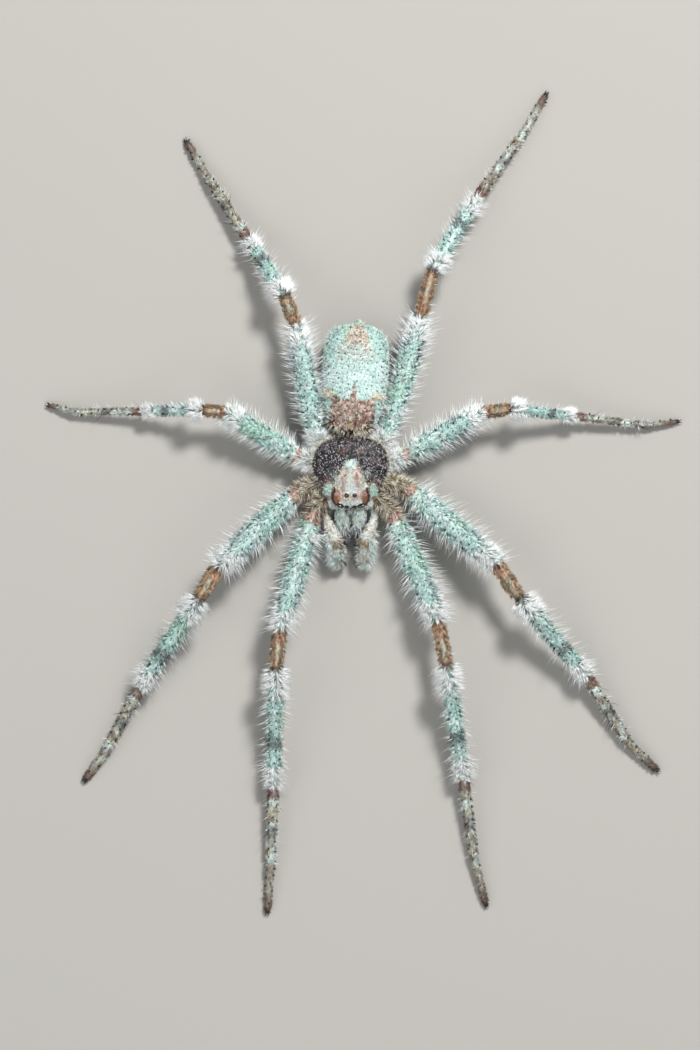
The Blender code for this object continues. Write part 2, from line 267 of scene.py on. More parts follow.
@dataclass
class Limb:
    """A length of the body: a course of joints with an oval section all along it.

    The stations hold distance along the course, half width and half height, in mm.
    """

    joints: Array
    stations: Array
    power: float = 2.0
    under: float = 1.0
    round_off: float = 0.35
    ring_step: float = 0.45
    sides: int = 24

    def __post_init__(self) -> None:
        """Work out the spans between the joints."""
        spans = np.diff(self.joints, axis=0)
        self.span_lengths = np.linalg.norm(spans, axis=1)
        self.runs = unit(spans)
        self.starts = np.concatenate(([0.0], np.cumsum(self.span_lengths)))
        self.length = float(self.starts[-1])

    def on_course(self, along: Array) -> Array:
        """Give points of the course, straight on past its ends.

        Args:
            along: distances along the course, in mm.

        Returns:
            A point for each distance.
        """
        inner = np.clip(along, 0.0, self.length)
        points = np.stack([np.interp(inner, self.starts, self.joints[:, axis])
                           for axis in range(3)], axis=-1)
        over = (along - inner)[..., None]
        return points + over * np.where(over < 0.0, self.runs[0], self.runs[-1])

    def centre(self, along: Array) -> Array:
        """Give points of the course with its corners rounded off."""
        shifts = np.linspace(-self.round_off, self.round_off, 7)
        return np.mean([self.on_course(along + shift) for shift in shifts], axis=0)

    def axes(self, along: Array, reach: float) -> tuple[Array, ...]:
        """Give the course's direction, and those across it and up from it.

        Args:
            along: distances along the course, in mm.
            reach: how far to both sides the direction is judged, in mm.

        Returns:
            The three directions, each with one row for each distance.
        """
        run = unit(self.centre(along + reach) - self.centre(along - reach))
        across = unit(np.cross(run, UP))
        return run, across, np.cross(across, run)

    def half_sizes(self, along: Array) -> tuple[Array, Array]:
        """Give the half width and half height of the section at places along.

        Args:
            along: distances along the course, in mm.

        Returns:
            The half widths and the half heights, in mm.
        """
        distance = self.stations[:, 0]
        wide = np.interp(along, distance, self.stations[:, 1])
        high = np.interp(along, distance, self.stations[:, 2])
        return wide, high

    def locate(self, points: Array) -> Place:
        """Find where points lie on the limb.

        Args:
            points: places in mm, one row each.

        Returns:
            Their places along and around the limb. A measure of 1 is on its surface.
        """
        best = np.full(len(points), 1e18)
        along = np.zeros(len(points))
        span = np.zeros(len(points), int)
        for number, (start, run, size) in enumerate(
                zip(self.joints, self.runs, self.span_lengths)):
            reach = np.clip((points - start) @ run, 0.0, size)
            gap = np.linalg.norm(points - start - reach[:, None] * run, axis=1)
            closer = gap < best
            best[closer] = gap[closer]
            along[closer] = self.starts[number] + reach[closer]
            span[closer] = number
        run, across, upward = self.axes(along, 0.2)
        offset = points - self.centre(along)
        side = np.sum(offset * across, axis=1)
        rise = np.sum(offset * upward, axis=1)
        over = np.abs(np.sum(offset * run, axis=1))
        wide, high = self.half_sizes(along)
        high = np.where(rise < 0.0, high * self.under, high)
        measure = np.sqrt((side / wide) ** 2 + (rise / high) ** 2 + (over / wide) ** 2)
        share = (along - self.starts[span]) / self.span_lengths[span]
        return Place(along, side, rise, measure, span, share, run, across)

    def add_to(self, bm: bmesh.types.BMesh) -> None:
        """Loft the limb as one closed body, ring by ring.

        Args:
            bm: the bmesh it is added to, in mm.
        """
        count = max(3, int(round(self.length / self.ring_step)) + 1)
        along = np.unique(np.concatenate((np.linspace(0.0, self.length, count),
                                          self.stations[:, 0])))
        centres = self.centre(along)
        _, across, upward = self.axes(along, 0.1)
        wide, high = self.half_sizes(along)
        angles = 2.0 * math.pi * np.arange(self.sides) / self.sides
        cosine, sine = np.cos(angles), np.sin(angles)
        over = np.sign(cosine) * np.abs(cosine) ** (2.0 / self.power)
        lift = np.sign(sine) * np.abs(sine) ** (2.0 / self.power)
        lift = np.where(lift < 0.0, lift * self.under, lift)
        first = bmesh.ops.create_circle(bm, segments=self.sides, radius=1.0)
        verts = first["verts"]
        edges = list({edge for vert in verts for edge in vert.link_edges})
        caps = [list(verts)]
        for number in range(len(along)):
            if number:
                made = bmesh.ops.extrude_edge_only(bm, edges=edges)["geom"]
                fresh = {item for item in made if isinstance(item, bmesh.types.BMVert)}
                edges = [item for item in made if isinstance(item, bmesh.types.BMEdge)
                         and set(item.verts) <= fresh]
                verts = [next(edge.other_vert(vert) for edge in vert.link_edges
                              if edge.other_vert(vert) in fresh) for vert in verts]
            for step, vert in enumerate(verts):
                vert.co = (centres[number] + across[number] * over[step] * wide[number]
                           + upward[number] * lift[step] * high[number])
        caps.append(list(verts))
        for cap in caps:
            bm.faces.new(cap)


def stations_of(spans: list[tuple[float, tuple]], breadth: float = 1.0) -> Array:
    """Join the sections of several spans into one run of stations.

    Args:
        spans: for each span its length and its (share, half width, half height) rows.
        breadth: factor on all half widths and half heights.

    Returns:
        Rows of distance along the whole course, half width and half height.
    """
    rows, begun = [], 0.0
    for length, sections in spans:
        for share, wide, high in sections:
            rows.append((begun + share * length, wide * breadth, high * breadth))
        begun += length
    table = np.array(rows)
    keep = np.concatenate((np.diff(table[:, 0]) > 1e-6, [True]))
    return table[keep]


class Leg(Enum):
    """The spans of a leg in order, as a maker names them."""

    COXA = 0
    FEMUR = 1
    PATELLA = 2
    TIBIA = 3
    METATARSUS = 4
    TARSUS = 5


LEG_SECTIONS = {
    Leg.COXA: ((0.0, 0.46, 0.46), (0.5, 0.58, 0.54), (0.9, 0.52, 0.50)),
    Leg.FEMUR: ((0.0, 0.48, 0.46), (0.06, 0.54, 0.52), (0.16, 0.72, 0.64),
                (0.42, 0.82, 0.70), (0.70, 0.82, 0.68), (0.90, 0.64, 0.56),
                (0.98, 0.50, 0.46)),
    Leg.PATELLA: ((0.0, 0.50, 0.46), (0.12, 0.55, 0.50), (0.50, 0.57, 0.52),
                  (0.88, 0.52, 0.46)),
    Leg.TIBIA: ((0.0, 0.42, 0.39), (0.06, 0.46, 0.43), (0.25, 0.53, 0.48),
                (0.60, 0.49, 0.44), (0.92, 0.44, 0.40)),
    Leg.METATARSUS: ((0.0, 0.38, 0.36), (0.10, 0.42, 0.38), (0.55, 0.38, 0.34)),
    Leg.TARSUS: ((0.0, 0.33, 0.31), (0.50, 0.31, 0.29), (0.85, 0.28, 0.26),
                 (0.96, 0.19, 0.19), (1.0, 0.06, 0.06)),
}


@dataclass(frozen=True)
class LegPair:
    """What the two legs of a pair share: coxa start, joint heights and width factors."""

    coxa_inner: tuple[float, float]
    joint_z: tuple[float, ...]
    breadth: float
    shin: float = 1.0


PAIRS = {
    1: LegPair((1.85, -2.00), (2.10, 4.30, 4.55, 1.75, 0.75, 0.30), 1.00),
    2: LegPair((2.00, -0.80), (2.10, 4.40, 4.60, 1.75, 0.75, 0.30), 1.04),
    3: LegPair((2.00, 0.45), (2.10, 3.75, 3.90, 1.60, 0.70, 0.30), 0.86, 0.80),
    4: LegPair((1.90, 1.62), (2.10, 4.20, 4.40, 1.70, 0.75, 0.30), 0.96),
}

# Hip across and along, then the reach seen from above and the heading of each span
LEGS = {
    "r1": ((-3.50, -3.93), ((11.46, -105.7), (3.57, -96.2), (11.13, -91.2),
                            (7.86, -92.4), (4.13, -93.9))),
    "r2": ((-4.83, -1.96), ((10.35, -136.6), (3.41, -121.5), (10.10, -123.7),
                            (6.93, -118.5), (3.37, -126.5))),
    "r3": ((-4.64, 1.03), ((8.13, 148.1), (2.17, 173.0), (5.71, -179.1),
                           (6.73, 180.0), (2.43, 164.4))),
    "r4": ((-3.24, 3.09), ((10.55, 100.2), (2.87, 110.9), (6.32, 122.3),
                           (7.35, 123.1), (3.91, 120.2))),
    "l1": ((3.86, -3.93), ((11.06, -67.1), (4.09, -79.5), (10.97, -81.2),
                           (7.74, -82.3), (4.44, -75.4))),
    "l2": ((5.17, -1.59), ((11.08, -40.5), (3.87, -55.4), (9.79, -49.5),
                           (7.31, -57.5), (3.90, -44.0))),
    "l3": ((4.80, 1.22), ((8.53, 28.8), (2.55, 8.4), (6.30, -6.0),
                          (6.78, -7.1), (3.11, 6.9))),
    "l4": ((3.40, 3.18), ((11.57, 74.1), (4.33, 76.3), (8.09, 58.7),
                          (8.06, 54.5), (3.93, 60.8))),
}


@dataclass
class Skeleton:
    """Every limb of the spider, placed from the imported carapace, in mm and degrees."""

    carapace_front: float = -3.72
    abdomen_turn: float = 4.1
    origin: Array = field(init=False)
    limbs: dict[str, Limb] = field(init=False, default_factory=dict)

    def __post_init__(self) -> None:
        """Place the middle of the head part and make all limbs."""
        low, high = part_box("carapace")
        self.origin = np.array(((low.x + high.x) / 2.0 / MM,
                                low.y / MM - self.carapace_front, 0.0))
        self.make_trunk()
        for side, mirror in (("left", 1.0), ("right", -1.0)):
            self.make_mouth(side, mirror)
        for code in LEGS:
            self.make_leg(code)

    def add(self, name: str, joints: list, sections: list, **shape: float) -> None:
        """Add a limb of one or more spans, given in the head part's own frame.

        Args:
            name: the limb's name.
            joints: the places that its course runs through, in mm.
            sections: rows of share along the whole course, half width and half height.
            shape: further values of the limb, by name.
        """
        places = np.array(joints, float) + self.origin
        sizes = np.linalg.norm(np.diff(places, axis=0), axis=1)
        table = stations_of([(float(sizes.sum()), tuple(sections))])
        self.limbs[name] = Limb(places, table, **shape)

    def make_trunk(self) -> None:
        """Make the thorax, the raised head, the sternum, the pedicel and the abdomen."""
        self.add("thorax", [(0, 3.10, 2.80), (0, -3.50, 2.80)],
                 [(0.000, 1.10, 0.40), (0.030, 1.85, 0.72), (0.075, 2.50, 1.02),
                  (0.130, 2.98, 1.27), (0.200, 3.32, 1.48), (0.290, 3.53, 1.60),
                  (0.390, 3.62, 1.64), (0.490, 3.52, 1.58), (0.580, 3.24, 1.42),
                  (0.660, 2.96, 1.26), (0.760, 2.66, 1.08), (0.880, 2.32, 0.86),
                  (0.960, 1.98, 0.64), (1.000, 1.65, 0.45)],
                 power=2.2, under=0.28, sides=48)
        self.add("head", [(0, 1.20, 3.10), (0, -3.58, 3.10)],
                 [(0.000, 0.50, 1.25), (0.156, 1.00, 1.34), (0.356, 1.35, 1.40),
                  (0.523, 1.52, 1.40), (0.669, 1.60, 1.32), (0.795, 1.58, 1.20),
                  (0.879, 1.48, 1.02), (0.941, 1.25, 0.80), (0.973, 1.00, 0.62),
                  (0.994, 0.78, 0.45), (1.000, 0.60, 0.30)],
                 power=2.4, under=0.7, sides=40)
        self.add("sternum", [(0, 2.00, 1.95), (0, -2.60, 1.95)],
                 [(0.0, 0.5, 0.5), (0.15, 1.15, 0.68), (0.5, 1.45, 0.72),
                  (0.8, 1.15, 0.68), (1.0, 0.5, 0.5)], power=2.4)
        self.add("pedicel", [(0, 2.80, 2.90), (0, 4.00, 2.80)],
                 [(0.0, 0.36, 0.30), (1.0, 0.40, 0.34)])
        turn = math.radians(self.abdomen_turn)
        back = np.array((math.sin(turn), math.cos(turn), 0.0))
        front = np.array((0.0, 3.42, 0.0))
        heights = ((0.0, 2.80), (3.4, 2.70), (7.0, 2.55), (9.1, 2.30), (9.95, 2.00))
        joints = [front + back * reach + UP * height for reach, height in heights]
        self.add("abdomen", joints,
                 [(0.00, 0.90, 0.75), (0.015, 1.42, 1.08), (0.045, 1.82, 1.32),
                  (0.13, 2.30, 1.58), (0.31, 2.76, 1.78), (0.51, 2.98, 1.82),
                  (0.70, 2.95, 1.74), (0.84, 2.76, 1.56), (0.92, 2.45, 1.32),
                  (0.965, 1.95, 1.02), (0.99, 1.30, 0.70), (1.00, 0.80, 0.45)],
                 power=2.3, sides=48, round_off=0.6)
        tail = front + back * 9.7
        self.add("spinnerets", [tail + UP * 1.75, tail + back * 0.85 + UP * 1.55],
                 [(0.0, 0.60, 0.42), (0.6, 0.46, 0.34), (1.0, 0.22, 0.16)])

    def make_mouth(self, side: str, mirror: float) -> None:
        """Make one chelicera and one palp.

        Args:
            side: left or right.
            mirror: 1 on the left and -1 on the right.
        """
        self.add(f"chelicera_{side}",
                 [(0.74 * mirror, -3.20, 2.80), (0.76 * mirror, -4.50, 2.42),
                  (0.70 * mirror, -6.35, 1.24)],
                 [(0.0, 0.54, 0.56), (0.25, 0.64, 0.68), (0.5, 0.66, 0.68),
                  (0.8, 0.58, 0.52), (0.95, 0.42, 0.38), (1.0, 0.24, 0.24)])
        self.add(f"palp_{side}",
                 [(1.80 * mirror, -3.20, 1.75), (2.28 * mirror, -4.45, 2.25),
                  (1.86 * mirror, -5.60, 2.62), (1.30 * mirror, -6.90, 2.48),
                  (1.20 * mirror, -7.75, 1.90), (1.18 * mirror, -8.70, 1.16),
                  (1.20 * mirror, -9.10, 0.80)],
                 [(0.0, 0.24, 0.26), (0.20, 0.25, 0.26), (0.39, 0.44, 0.40),
                  (0.54, 0.60, 0.46), (0.60, 0.48, 0.38), (0.64, 0.46, 0.38),
                  (0.72, 0.60, 0.46), (0.82, 0.64, 0.46), (0.92, 0.46, 0.36),
                  (1.0, 0.22, 0.20)],
                 round_off=0.30)

    def make_leg(self, code: str) -> None:
        """Make one leg from its hip, reaches and headings.

        Args:
            code: the side's letter and the pair's number, as in LEGS.
        """
        pair = PAIRS[int(code[1])]
        (hip_x, hip_y), pieces = LEGS[code]
        mirror = 1.0 if code[0] == "l" else -1.0
        inner = (pair.coxa_inner[0] * mirror, pair.coxa_inner[1], pair.joint_z[0] - 0.22)
        joints = [np.array(inner), np.array((hip_x, hip_y, pair.joint_z[0]))]
        for (reach, heading), height in zip(pieces, pair.joint_z[1:]):
            turn = math.radians(heading)
            step = reach * np.array((math.cos(turn), math.sin(turn), 0.0))
            joints.append(np.array((*(joints[-1] + step)[:2], height)))
        places = np.array(joints) + self.origin
        sizes = np.linalg.norm(np.diff(places, axis=0), axis=1)
        spans = []
        for size, part in zip(sizes, Leg):
            slim = pair.shin if part.value >= Leg.TIBIA.value else 1.0
            spans.append((float(size), [(share, wide * slim, high * slim)
                                        for share, wide, high in LEG_SECTIONS[part]]))
        name = f"leg{code[1]}_{'left' if code[0] == 'l' else 'right'}"
        self.limbs[name] = Limb(places, stations_of(spans, pair.breadth))


@dataclass(frozen=True)
class Eye:
    """One pair of eyes: node, place of the left one, half sizes and its turn in degrees."""

    node: str
    across: float
    back: float
    height: float
    sizes: tuple[float, float, float]
    turn: float


EYES = (
    Eye("eye_ame", 0.36, -3.49, 3.72, (0.165, 0.175, 0.18), 0.0),
    Eye("eye_ale", 1.02, -3.36, 3.77, (0.38, 0.19, 0.24), 21.0),
    Eye("eye_pme", 0.36, -2.38, 4.26, (0.170, 0.170, 0.16), 0.0),
    Eye("eye_ple", 1.60, -1.93, 4.04, (0.15, 0.25, 0.24), 8.0),
)


@dataclass
class Paint:
    """The colours of every place on the spider, for the skin and the coat alike."""

    skeleton: Skeleton

    def colour(self, name: str, points: Array, place: Place) -> Array:
        """Paint points of one limb.

        Args:
            name: the limb's name.
            points: places on it in mm, one row each.
            place: where they lie on the limb.

        Returns:
            A linear colour for each place.
        """
        if name.startswith("leg"):
            return self.leg(name, points, place)
        if name.startswith("palp"):
            return self.palp(points, place)
        if name.startswith("chelicera"):
            return self.jaw(points, place)
        if name in ("thorax", "head"):
            return self.carapace(points)
        if name in ("abdomen", "spinnerets", "pedicel"):
            return self.abdomen(points)
        return self.underside(points)

    def mint(self, points: Array, seed: int) -> Array:
        """Give the pale aqua ground with greener and whiter drifts."""
        return layered(points, MINT,
                       (MINT_PALE, 0.6 * smooth(0.35, 0.75, cloud(points, 0.9, seed))),
                       (MINT_GREEN, 0.5 * smooth(0.55, 0.85, cloud(points, 1.7, seed + 1))))

    def leg(self, name: str, points: Array, place: Place) -> Array:
        """Paint a leg from hip to tip.

        Args:
            name: the leg's name, which also seeds its mottling.
            points: places on it in mm, one row each.
            place: where they lie on the leg.

        Returns:
            A linear colour for each place.
        """
        number = int(name[3])
        seed = 11 * number + (5 if name.endswith("left") else 0)
        share = place.share
        rough = share + 0.05 * (cloud(points, 0.5, seed + 7) - 0.5)
        top = smooth(0.0, 0.4, place.crest)
        off = np.abs(place.side)
        mottle = cloud(points, 0.25, seed + 8)
        blotch = smooth(0.45, 0.6, cloud(points, 0.5, seed + 4))
        ground = self.mint(points, seed)
        looks = {
            Leg.COXA: layered(
                points, OLIVE,
                (CREAM, smooth(0.4, 0.8, cloud(points, 0.35, seed))),
                (MINT_PALE, 0.75 * (number > 2))),
            Leg.FEMUR: layered(
                points, ground,
                (PINK_TAN, 0.9 * top * band(rough, -0.1, 0.095, 0.02) * (number < 4)),
                (WHITE, top * band(rough, 0.11, 0.14, 0.01) * smooth(0.3, 0.15, off)),
                (RUST, 0.6 * top * band(rough, 0.46, 0.485, 0.01) * smooth(0.22, 0.05, off)),
                (LAVENDER, 0.35 * band(rough, 0.6, 0.9, 0.1) * smooth(0.3, 0.6, off)),
                (BROWN, 0.5 * top * band(rough, 0.97, 1.1, 0.02))),
            Leg.PATELLA: layered(
                points, OLIVE,
                (TAN, smooth(0.3, 0.7, mottle)),
                (GREY_GREEN, 0.45 * band(rough + 0.2 * mottle, 0.5, 0.85, 0.12)
                 * smooth(0.35, 0.1, off)),
                (RUST, 0.85 * band(rough + 0.2 * mottle, -0.2, 0.42, 0.12)
                 * smooth(0.36, 0.12, off + 0.2 * mottle)),
                (BROWN, 0.65 * band(off + 0.2 * mottle, 0.28, 0.48, 0.08)),
                (DARK, 0.7 * band(rough, 0.95, 1.2, 0.03)),
                (DARK, 0.8 * smooth(0.16, 0.08, np.hypot(place.side, (share - 0.1) * 3.4)))),
            Leg.TIBIA: layered(
                points, ground,
                (RUST, (0.9 if number == 3 else 0.6) * band(rough, -0.2, 0.04, 0.02)),
                (PLUM, 0.62 * band(rough, 0.57, 0.68, 0.03)),
                (WHITE, 0.6 * band(rough, 0.82, 1.2, 0.04))),
            Leg.METATARSUS: layered(
                points, STRAW,
                (MINT_PALE, 0.75 * blotch),
                (BROWN, 0.6 * smooth(0.5, 0.7, cloud(points, 0.35, seed + 5))),
                (RUST, 0.75 * band(rough, -0.2, 0.14, 0.03)),
                (PLUM, 0.6 * band(rough, 0.46, 0.60, 0.05)),
                (BROWN, 0.4 * band(rough, 0.92, 1.2, 0.04))),
            Leg.TARSUS: layered(
                points, STRAW,
                (BROWN, 0.40 + 0.4 * smooth(0.3, 0.8, share)),
                (MINT_PALE, 0.4 * blotch * smooth(0.8, 0.3, share)),
                (DARK, 0.85 * smooth(0.78, 0.95, share)))}
        return np.stack([looks[part] for part in Leg])[place.span, np.arange(len(points))]

    def local(self, points: Array) -> tuple[Array, Array]:
        """Give the distance off the midline, and how far behind the middle of the head."""
        own = points - self.skeleton.origin
        return own[:, 0], own[:, 1]

    def pale_head(self, points: Array, soft: float = 0.30) -> Array:
        """Mask the pale wedge that widens from the thorax to the eyes.

        Args:
            points: places in mm, one row each.
            soft: how far its edge fades outwards, in mm.

        Returns:
            A share for each place, 1 on the wedge.
        """
        across, back = self.local(points)
        edge = np.interp(back, (-3.6, -2.5, -1.7, -0.94, 0.0, 0.75, 1.0, 1.3),
                         (1.80, 1.78, 1.60, 1.25, 0.85, 0.35, 0.0, -1.3))
        rough = 0.5 * (cloud(points, 0.25, 70) - 0.5)
        return smooth(soft, -0.30, np.abs(across) - edge + rough)

    def lobes(self, points: Array) -> Array:
        """Mask the bald glossy swellings between the side eyes.

        Args:
            points: places in mm, one row each.

        Returns:
            A share for each place, 1 on a swelling.
        """
        across, back = self.local(points)
        reach = oval(np.abs(across), back, LOBE, (0.40, 0.74))
        return smooth(1.08, 0.94, reach) * smooth(3.2, 3.4, points[:, 2])

    def eye_rims(self, points: Array, reach: float, deep: float = 1.0) -> Array:
        """Mask the skin close round every eye.

        Args:
            points: places in mm, one row each.
            reach: how far past the eye the rim goes, in mm.
            deep: factor on the rim's height, for a mask that also holds above an eye.

        Returns:
            A share for each place.
        """
        mask = np.zeros(len(points))
        mirrored = points - self.skeleton.origin
        mirrored[:, 0] = np.abs(mirrored[:, 0])
        for eye in EYES:
            turn = math.radians(eye.turn)
            gap = mirrored - (eye.across, eye.back, eye.height)
            along = gap[:, 0] * math.cos(turn) + gap[:, 1] * math.sin(turn)
            beside = gap[:, 1] * math.cos(turn) - gap[:, 0] * math.sin(turn)
            sizes = (np.array(eye.sizes) + reach) * (1.0, 1.0, deep)
            gauge = np.sqrt((along / sizes[0]) ** 2 + (beside / sizes[1]) ** 2
                            + (gap[:, 2] / sizes[2]) ** 2)
            mask = np.maximum(mask, smooth(1.12, 0.98, gauge))
        return mask

    def carapace(self, points: Array, pale: Array | None = None) -> Array:
        """Paint the dark thorax and the pale head with its streaks.

        Args:
            points: places in mm, one row each.
            pale: the share of the pale wedge at each, or None to work it out.

        Returns:
            A linear colour for each place.
        """
        across, back = self.local(points)
        wide = np.abs(across)
        patchy = smooth(0.3, 0.6, cloud(points, 0.2, 78))
        thorax = layered(
            points, SHADE,
            (PLUM, 0.8 * smooth(0.45, 0.85, cloud(points, 0.5, 72))),
            (SPECKLE, 0.20 * dots(points, 0.22, 0.09, 73)),
            (RUST, 0.35 * smooth(0.5, 0.1, np.hypot(wide - 0.8, back - 1.7))),
            (PINK, 0.45 * band(back, 1.9, 2.9, 0.1) * smooth(0.06, 0.02, wide)))
        margin = layered(points, OLIVE, (BROWN, smooth(0.35, 0.65, cloud(points, 0.3, 75))))
        vee = smooth(0.34, 0.14, np.abs(wide - 0.42 * (back - 0.15) - 0.12)) * band(
            back, 0.05, 0.8, 0.12)
        fringe = 0.6 * (cloud(points, 0.25, 71) - 0.5)
        reach = oval(wide, back, LOBE, (0.40, 0.76))
        rim = band(reach, 0.90, 1.14, 0.06) * smooth(1.30, 1.50, wide)
        return layered(
            points, thorax,
            (margin, smooth(-0.7, -1.7, back + 0.8 * (cloud(points, 0.3, 76) - 0.5))),
            (GREY_GREEN, 0.5 * smooth(0.4, -0.8, back) * smooth(2.6, 1.2, wide) * patchy),
            (RUST, 0.7 * smooth(0.45, 0.12, np.hypot(wide - 2.25, back + 0.98))),
            (self.head(points, patchy), self.pale_head(points) if pale is None else pale),
            (MINT, 0.9 * vee * (0.5 + 0.5 * patchy)),
            (CREAM, 0.8 * smooth(0.11, 0.04, wide) * band(back, -1.2, 0.3, 0.2)),
            (MINT, 0.9 * smooth(1.15, 0.5, fringe + oval(wide, back, REAR_CHEEK, (0.42, 0.62)))),
            # The front cheek is whitened: partly its own pale colour, partly painted light that
            # lifts the shade on this forward-facing patch
            (WHITE, 0.9 * smooth(1.15, 0.5, fringe + oval(wide, back, FRONT_CHEEK,
                                                          (0.44, 0.58)))),
            (self.amber(points, patchy, reach), self.lobes(points)),
            (PITCH, 0.9 * rim * smooth(3.2, 3.4, points[:, 2])),
            (RUST, 0.8 * smooth(0.17, 0.08, np.hypot(across, back + 3.5))),
            (RUST, 0.75 * self.eye_rims(points, 0.09)),
            (PITCH, 0.95 * self.eye_rims(points, 0.045)))

    def head(self, points: Array, patchy: Array) -> Array:
        """Paint the pale head with its two pink streaks.

        Args:
            points: places in mm, one row each.
            patchy: a fine mottling, a share for each place.

        Returns:
            A linear colour for each place.
        """
        across, back = self.local(points)
        wide = np.abs(across)
        streak = band(wide + 0.14 * (back + 1.0), 0.36, 0.86, 0.2) * smooth(-2.3, -1.6, back)
        streak = streak * smooth(0.7, 0.0, back)
        return layered(
            points, CREAM,
            (MINT_PALE, smooth(0.35, 0.7, cloud(points, 0.3, 74))),
            (PINK, streak * (0.5 + 0.5 * patchy)),
            (RUST, 0.6 * streak * smooth(0.50, 0.75, cloud(points, 0.16, 79))),
            (OLIVE, 0.55 * band(wide, 1.0, 1.6, 0.2) * smooth(-2.3, -1.2, back) * patchy),
            (MINT_PALE, 0.8 * smooth(0.75, 0.15, wide) * smooth(-2.3, -1.9, back)
             * smooth(-0.8, -1.5, back)),
            (PINK, 0.75 * band(back, -2.8, -2.05, 0.2) * smooth(0.15, 0.5, wide)
             * (0.5 + 0.5 * patchy)),
            (MINT_PALE, 0.9 * band(back, -3.4, -2.85, 0.10)),
            (GREY_GREEN, 0.7 * smooth(-3.45, -3.6, back)))

    def amber(self, points: Array, patchy: Array, reach: Array) -> Array:
        """Paint the glossy swellings between the side eyes.

        Args:
            points: places in mm, one row each.
            patchy: a fine mottling, a share for each place.
            reach: each place measured against the swelling, with 1 on its edge.

        Returns:
            A linear colour for each place.
        """
        across, back = self.local(points)
        wide = np.abs(across)
        return layered(
            points, AMBER,
            (RUST, 0.5 * smooth(0.3, 0.7, cloud(points, 0.25, 77))),
            (TAN, 0.55 * smooth(1.36, 1.08, wide + 0.15 * patchy)),
            (PINK, 0.5 * smooth(-2.55, -2.15, back) * patchy),
            (PITCH, 0.92 * smooth(0.55, 0.78, reach) * smooth(1.30, 1.50, wide)))

    def abdomen(self, points: Array) -> Array:
        """Paint the abdomen: mint, with the brown front patch and the tan rear one.

        Args:
            points: places in mm, one row each.

        Returns:
            A linear colour for each place.
        """
        place = self.skeleton.limbs["abdomen"].locate(points)
        along, wide = place.along, np.abs(place.side)
        rough = 0.5 * (cloud(points, 0.4, 81) - 0.5)
        top = smooth(-0.1, 0.2, place.rise)
        brown = layered(
            points, PINK_TAN,
            (BROWN, smooth(0.45, 0.60, cloud(points, 0.16, 84))),
            (CREAM, 0.7 * smooth(0.55, 0.70, cloud(points, 0.16, 88))),
            (RUST, 0.7 * smooth(0.55, 0.7, cloud(points, 0.5, 87))),
            (RUST, 0.7 * band(along, 0.6, 1.6, 0.2) * smooth(1.2, 1.7, wide)))
        shoulder = smooth(0.5, 0.2, np.hypot((wide - 2.25) / 1.3, along - 3.5))
        tan = layered(
            points, CREAM,
            (PINK_TAN, smooth(0.40, 0.60, cloud(points, 0.2, 86))),
            (BROWN, 0.5 * smooth(0.62, 0.75, cloud(points, 0.16, 89))))
        rear = smooth(7.75, 8.1, along + rough) * smooth(
            0.15, -0.15, wide - np.interp(along, (7.8, 8.3, 9.9), (1.40, 1.15, 0.45)) + rough)
        lines = band(along, 6.7, 7.9, 0.15) * smooth(2.1, 1.5, wide + rough)
        lines = lines * smooth(0.3, 0.7, 0.5 + 0.5 * np.sin(along * 15.0 + 4.0 * rough))
        return layered(
            points, self.mint(points, 82),
            (MINT_PALE, 0.4 * smooth(3.0, 4.0, along) * smooth(7.5, 6.0, along)),
            (brown, 0.92 * top * self.front_patch(place, rough)),
            (BROWN, 0.6 * top * smooth(0.65, 0.35, along + rough)),
            (TAN, 0.8 * smooth(0.28, 0.12, wide) * band(along, 0.3, 1.0, 0.1)),
            (PITCH, 0.9 * smooth(0.42, 0.22, np.hypot(wide, along))),
            (CREAM, 0.9 * top * shoulder),
            (tan, 0.85 * top * rear),
            (PINK_TAN, 0.55 * top * lines),
            (GREY_GREEN, 0.5 * smooth(0.0, -0.8, place.rise)))

    def front_patch(self, place: Place, rough: Array) -> Array:
        """Mask the brown front patch of the abdomen and its spike.

        Args:
            place: where the points lie on the abdomen.
            rough: how far the edge is shifted at each, in mm.

        Returns:
            The share of the patch at each point.
        """
        wide = np.abs(place.side)
        notch = 0.28 * smooth(1.9, 0.9, wide)
        patch = smooth(2.12, 1.96, wide + 0.5 * rough) * smooth(
            3.45, 3.28, place.along + rough + notch)
        spike = smooth(0.05, -0.05, wide - 0.38 * smooth(4.9, 3.1, place.along) + 0.3 * rough)
        return np.maximum(patch, spike * smooth(5.0, 4.8, place.along))

    def palp(self, points: Array, place: Place) -> Array:
        """Paint a palp: pale wedge, tan joint, green-white tip.

        Args:
            points: places on it in mm, one row each.
            place: where they lie on the palp.

        Returns:
            A linear colour for each place.
        """
        share = place.along / self.skeleton.limbs["palp_left"].length
        rough = share + 0.05 * (cloud(points, 0.3, 94) - 0.5)
        pale = layered(points, WHITE,
                       (CREAM, 0.2 + 0.6 * smooth(0.4, 0.7, cloud(points, 0.3, 93))))
        tip = layered(points, MINT_PALE,
                      (CREAM, smooth(0.3, 0.65, cloud(points, 0.3, 90))),
                      (GREY_GREEN, 0.6 * smooth(0.55, 0.7, cloud(points, 0.25, 97))))
        return layered(points, GREY_GREEN,
                       (pale, band(share, 0.16, 0.55, 0.05)),
                       (TAN, 0.75 * band(rough, 0.545, 0.615, 0.015)),
                       (tip, smooth(0.62, 0.65, share)),
                       (WHITE, 0.7 * smooth(0.84, 0.92, share)))

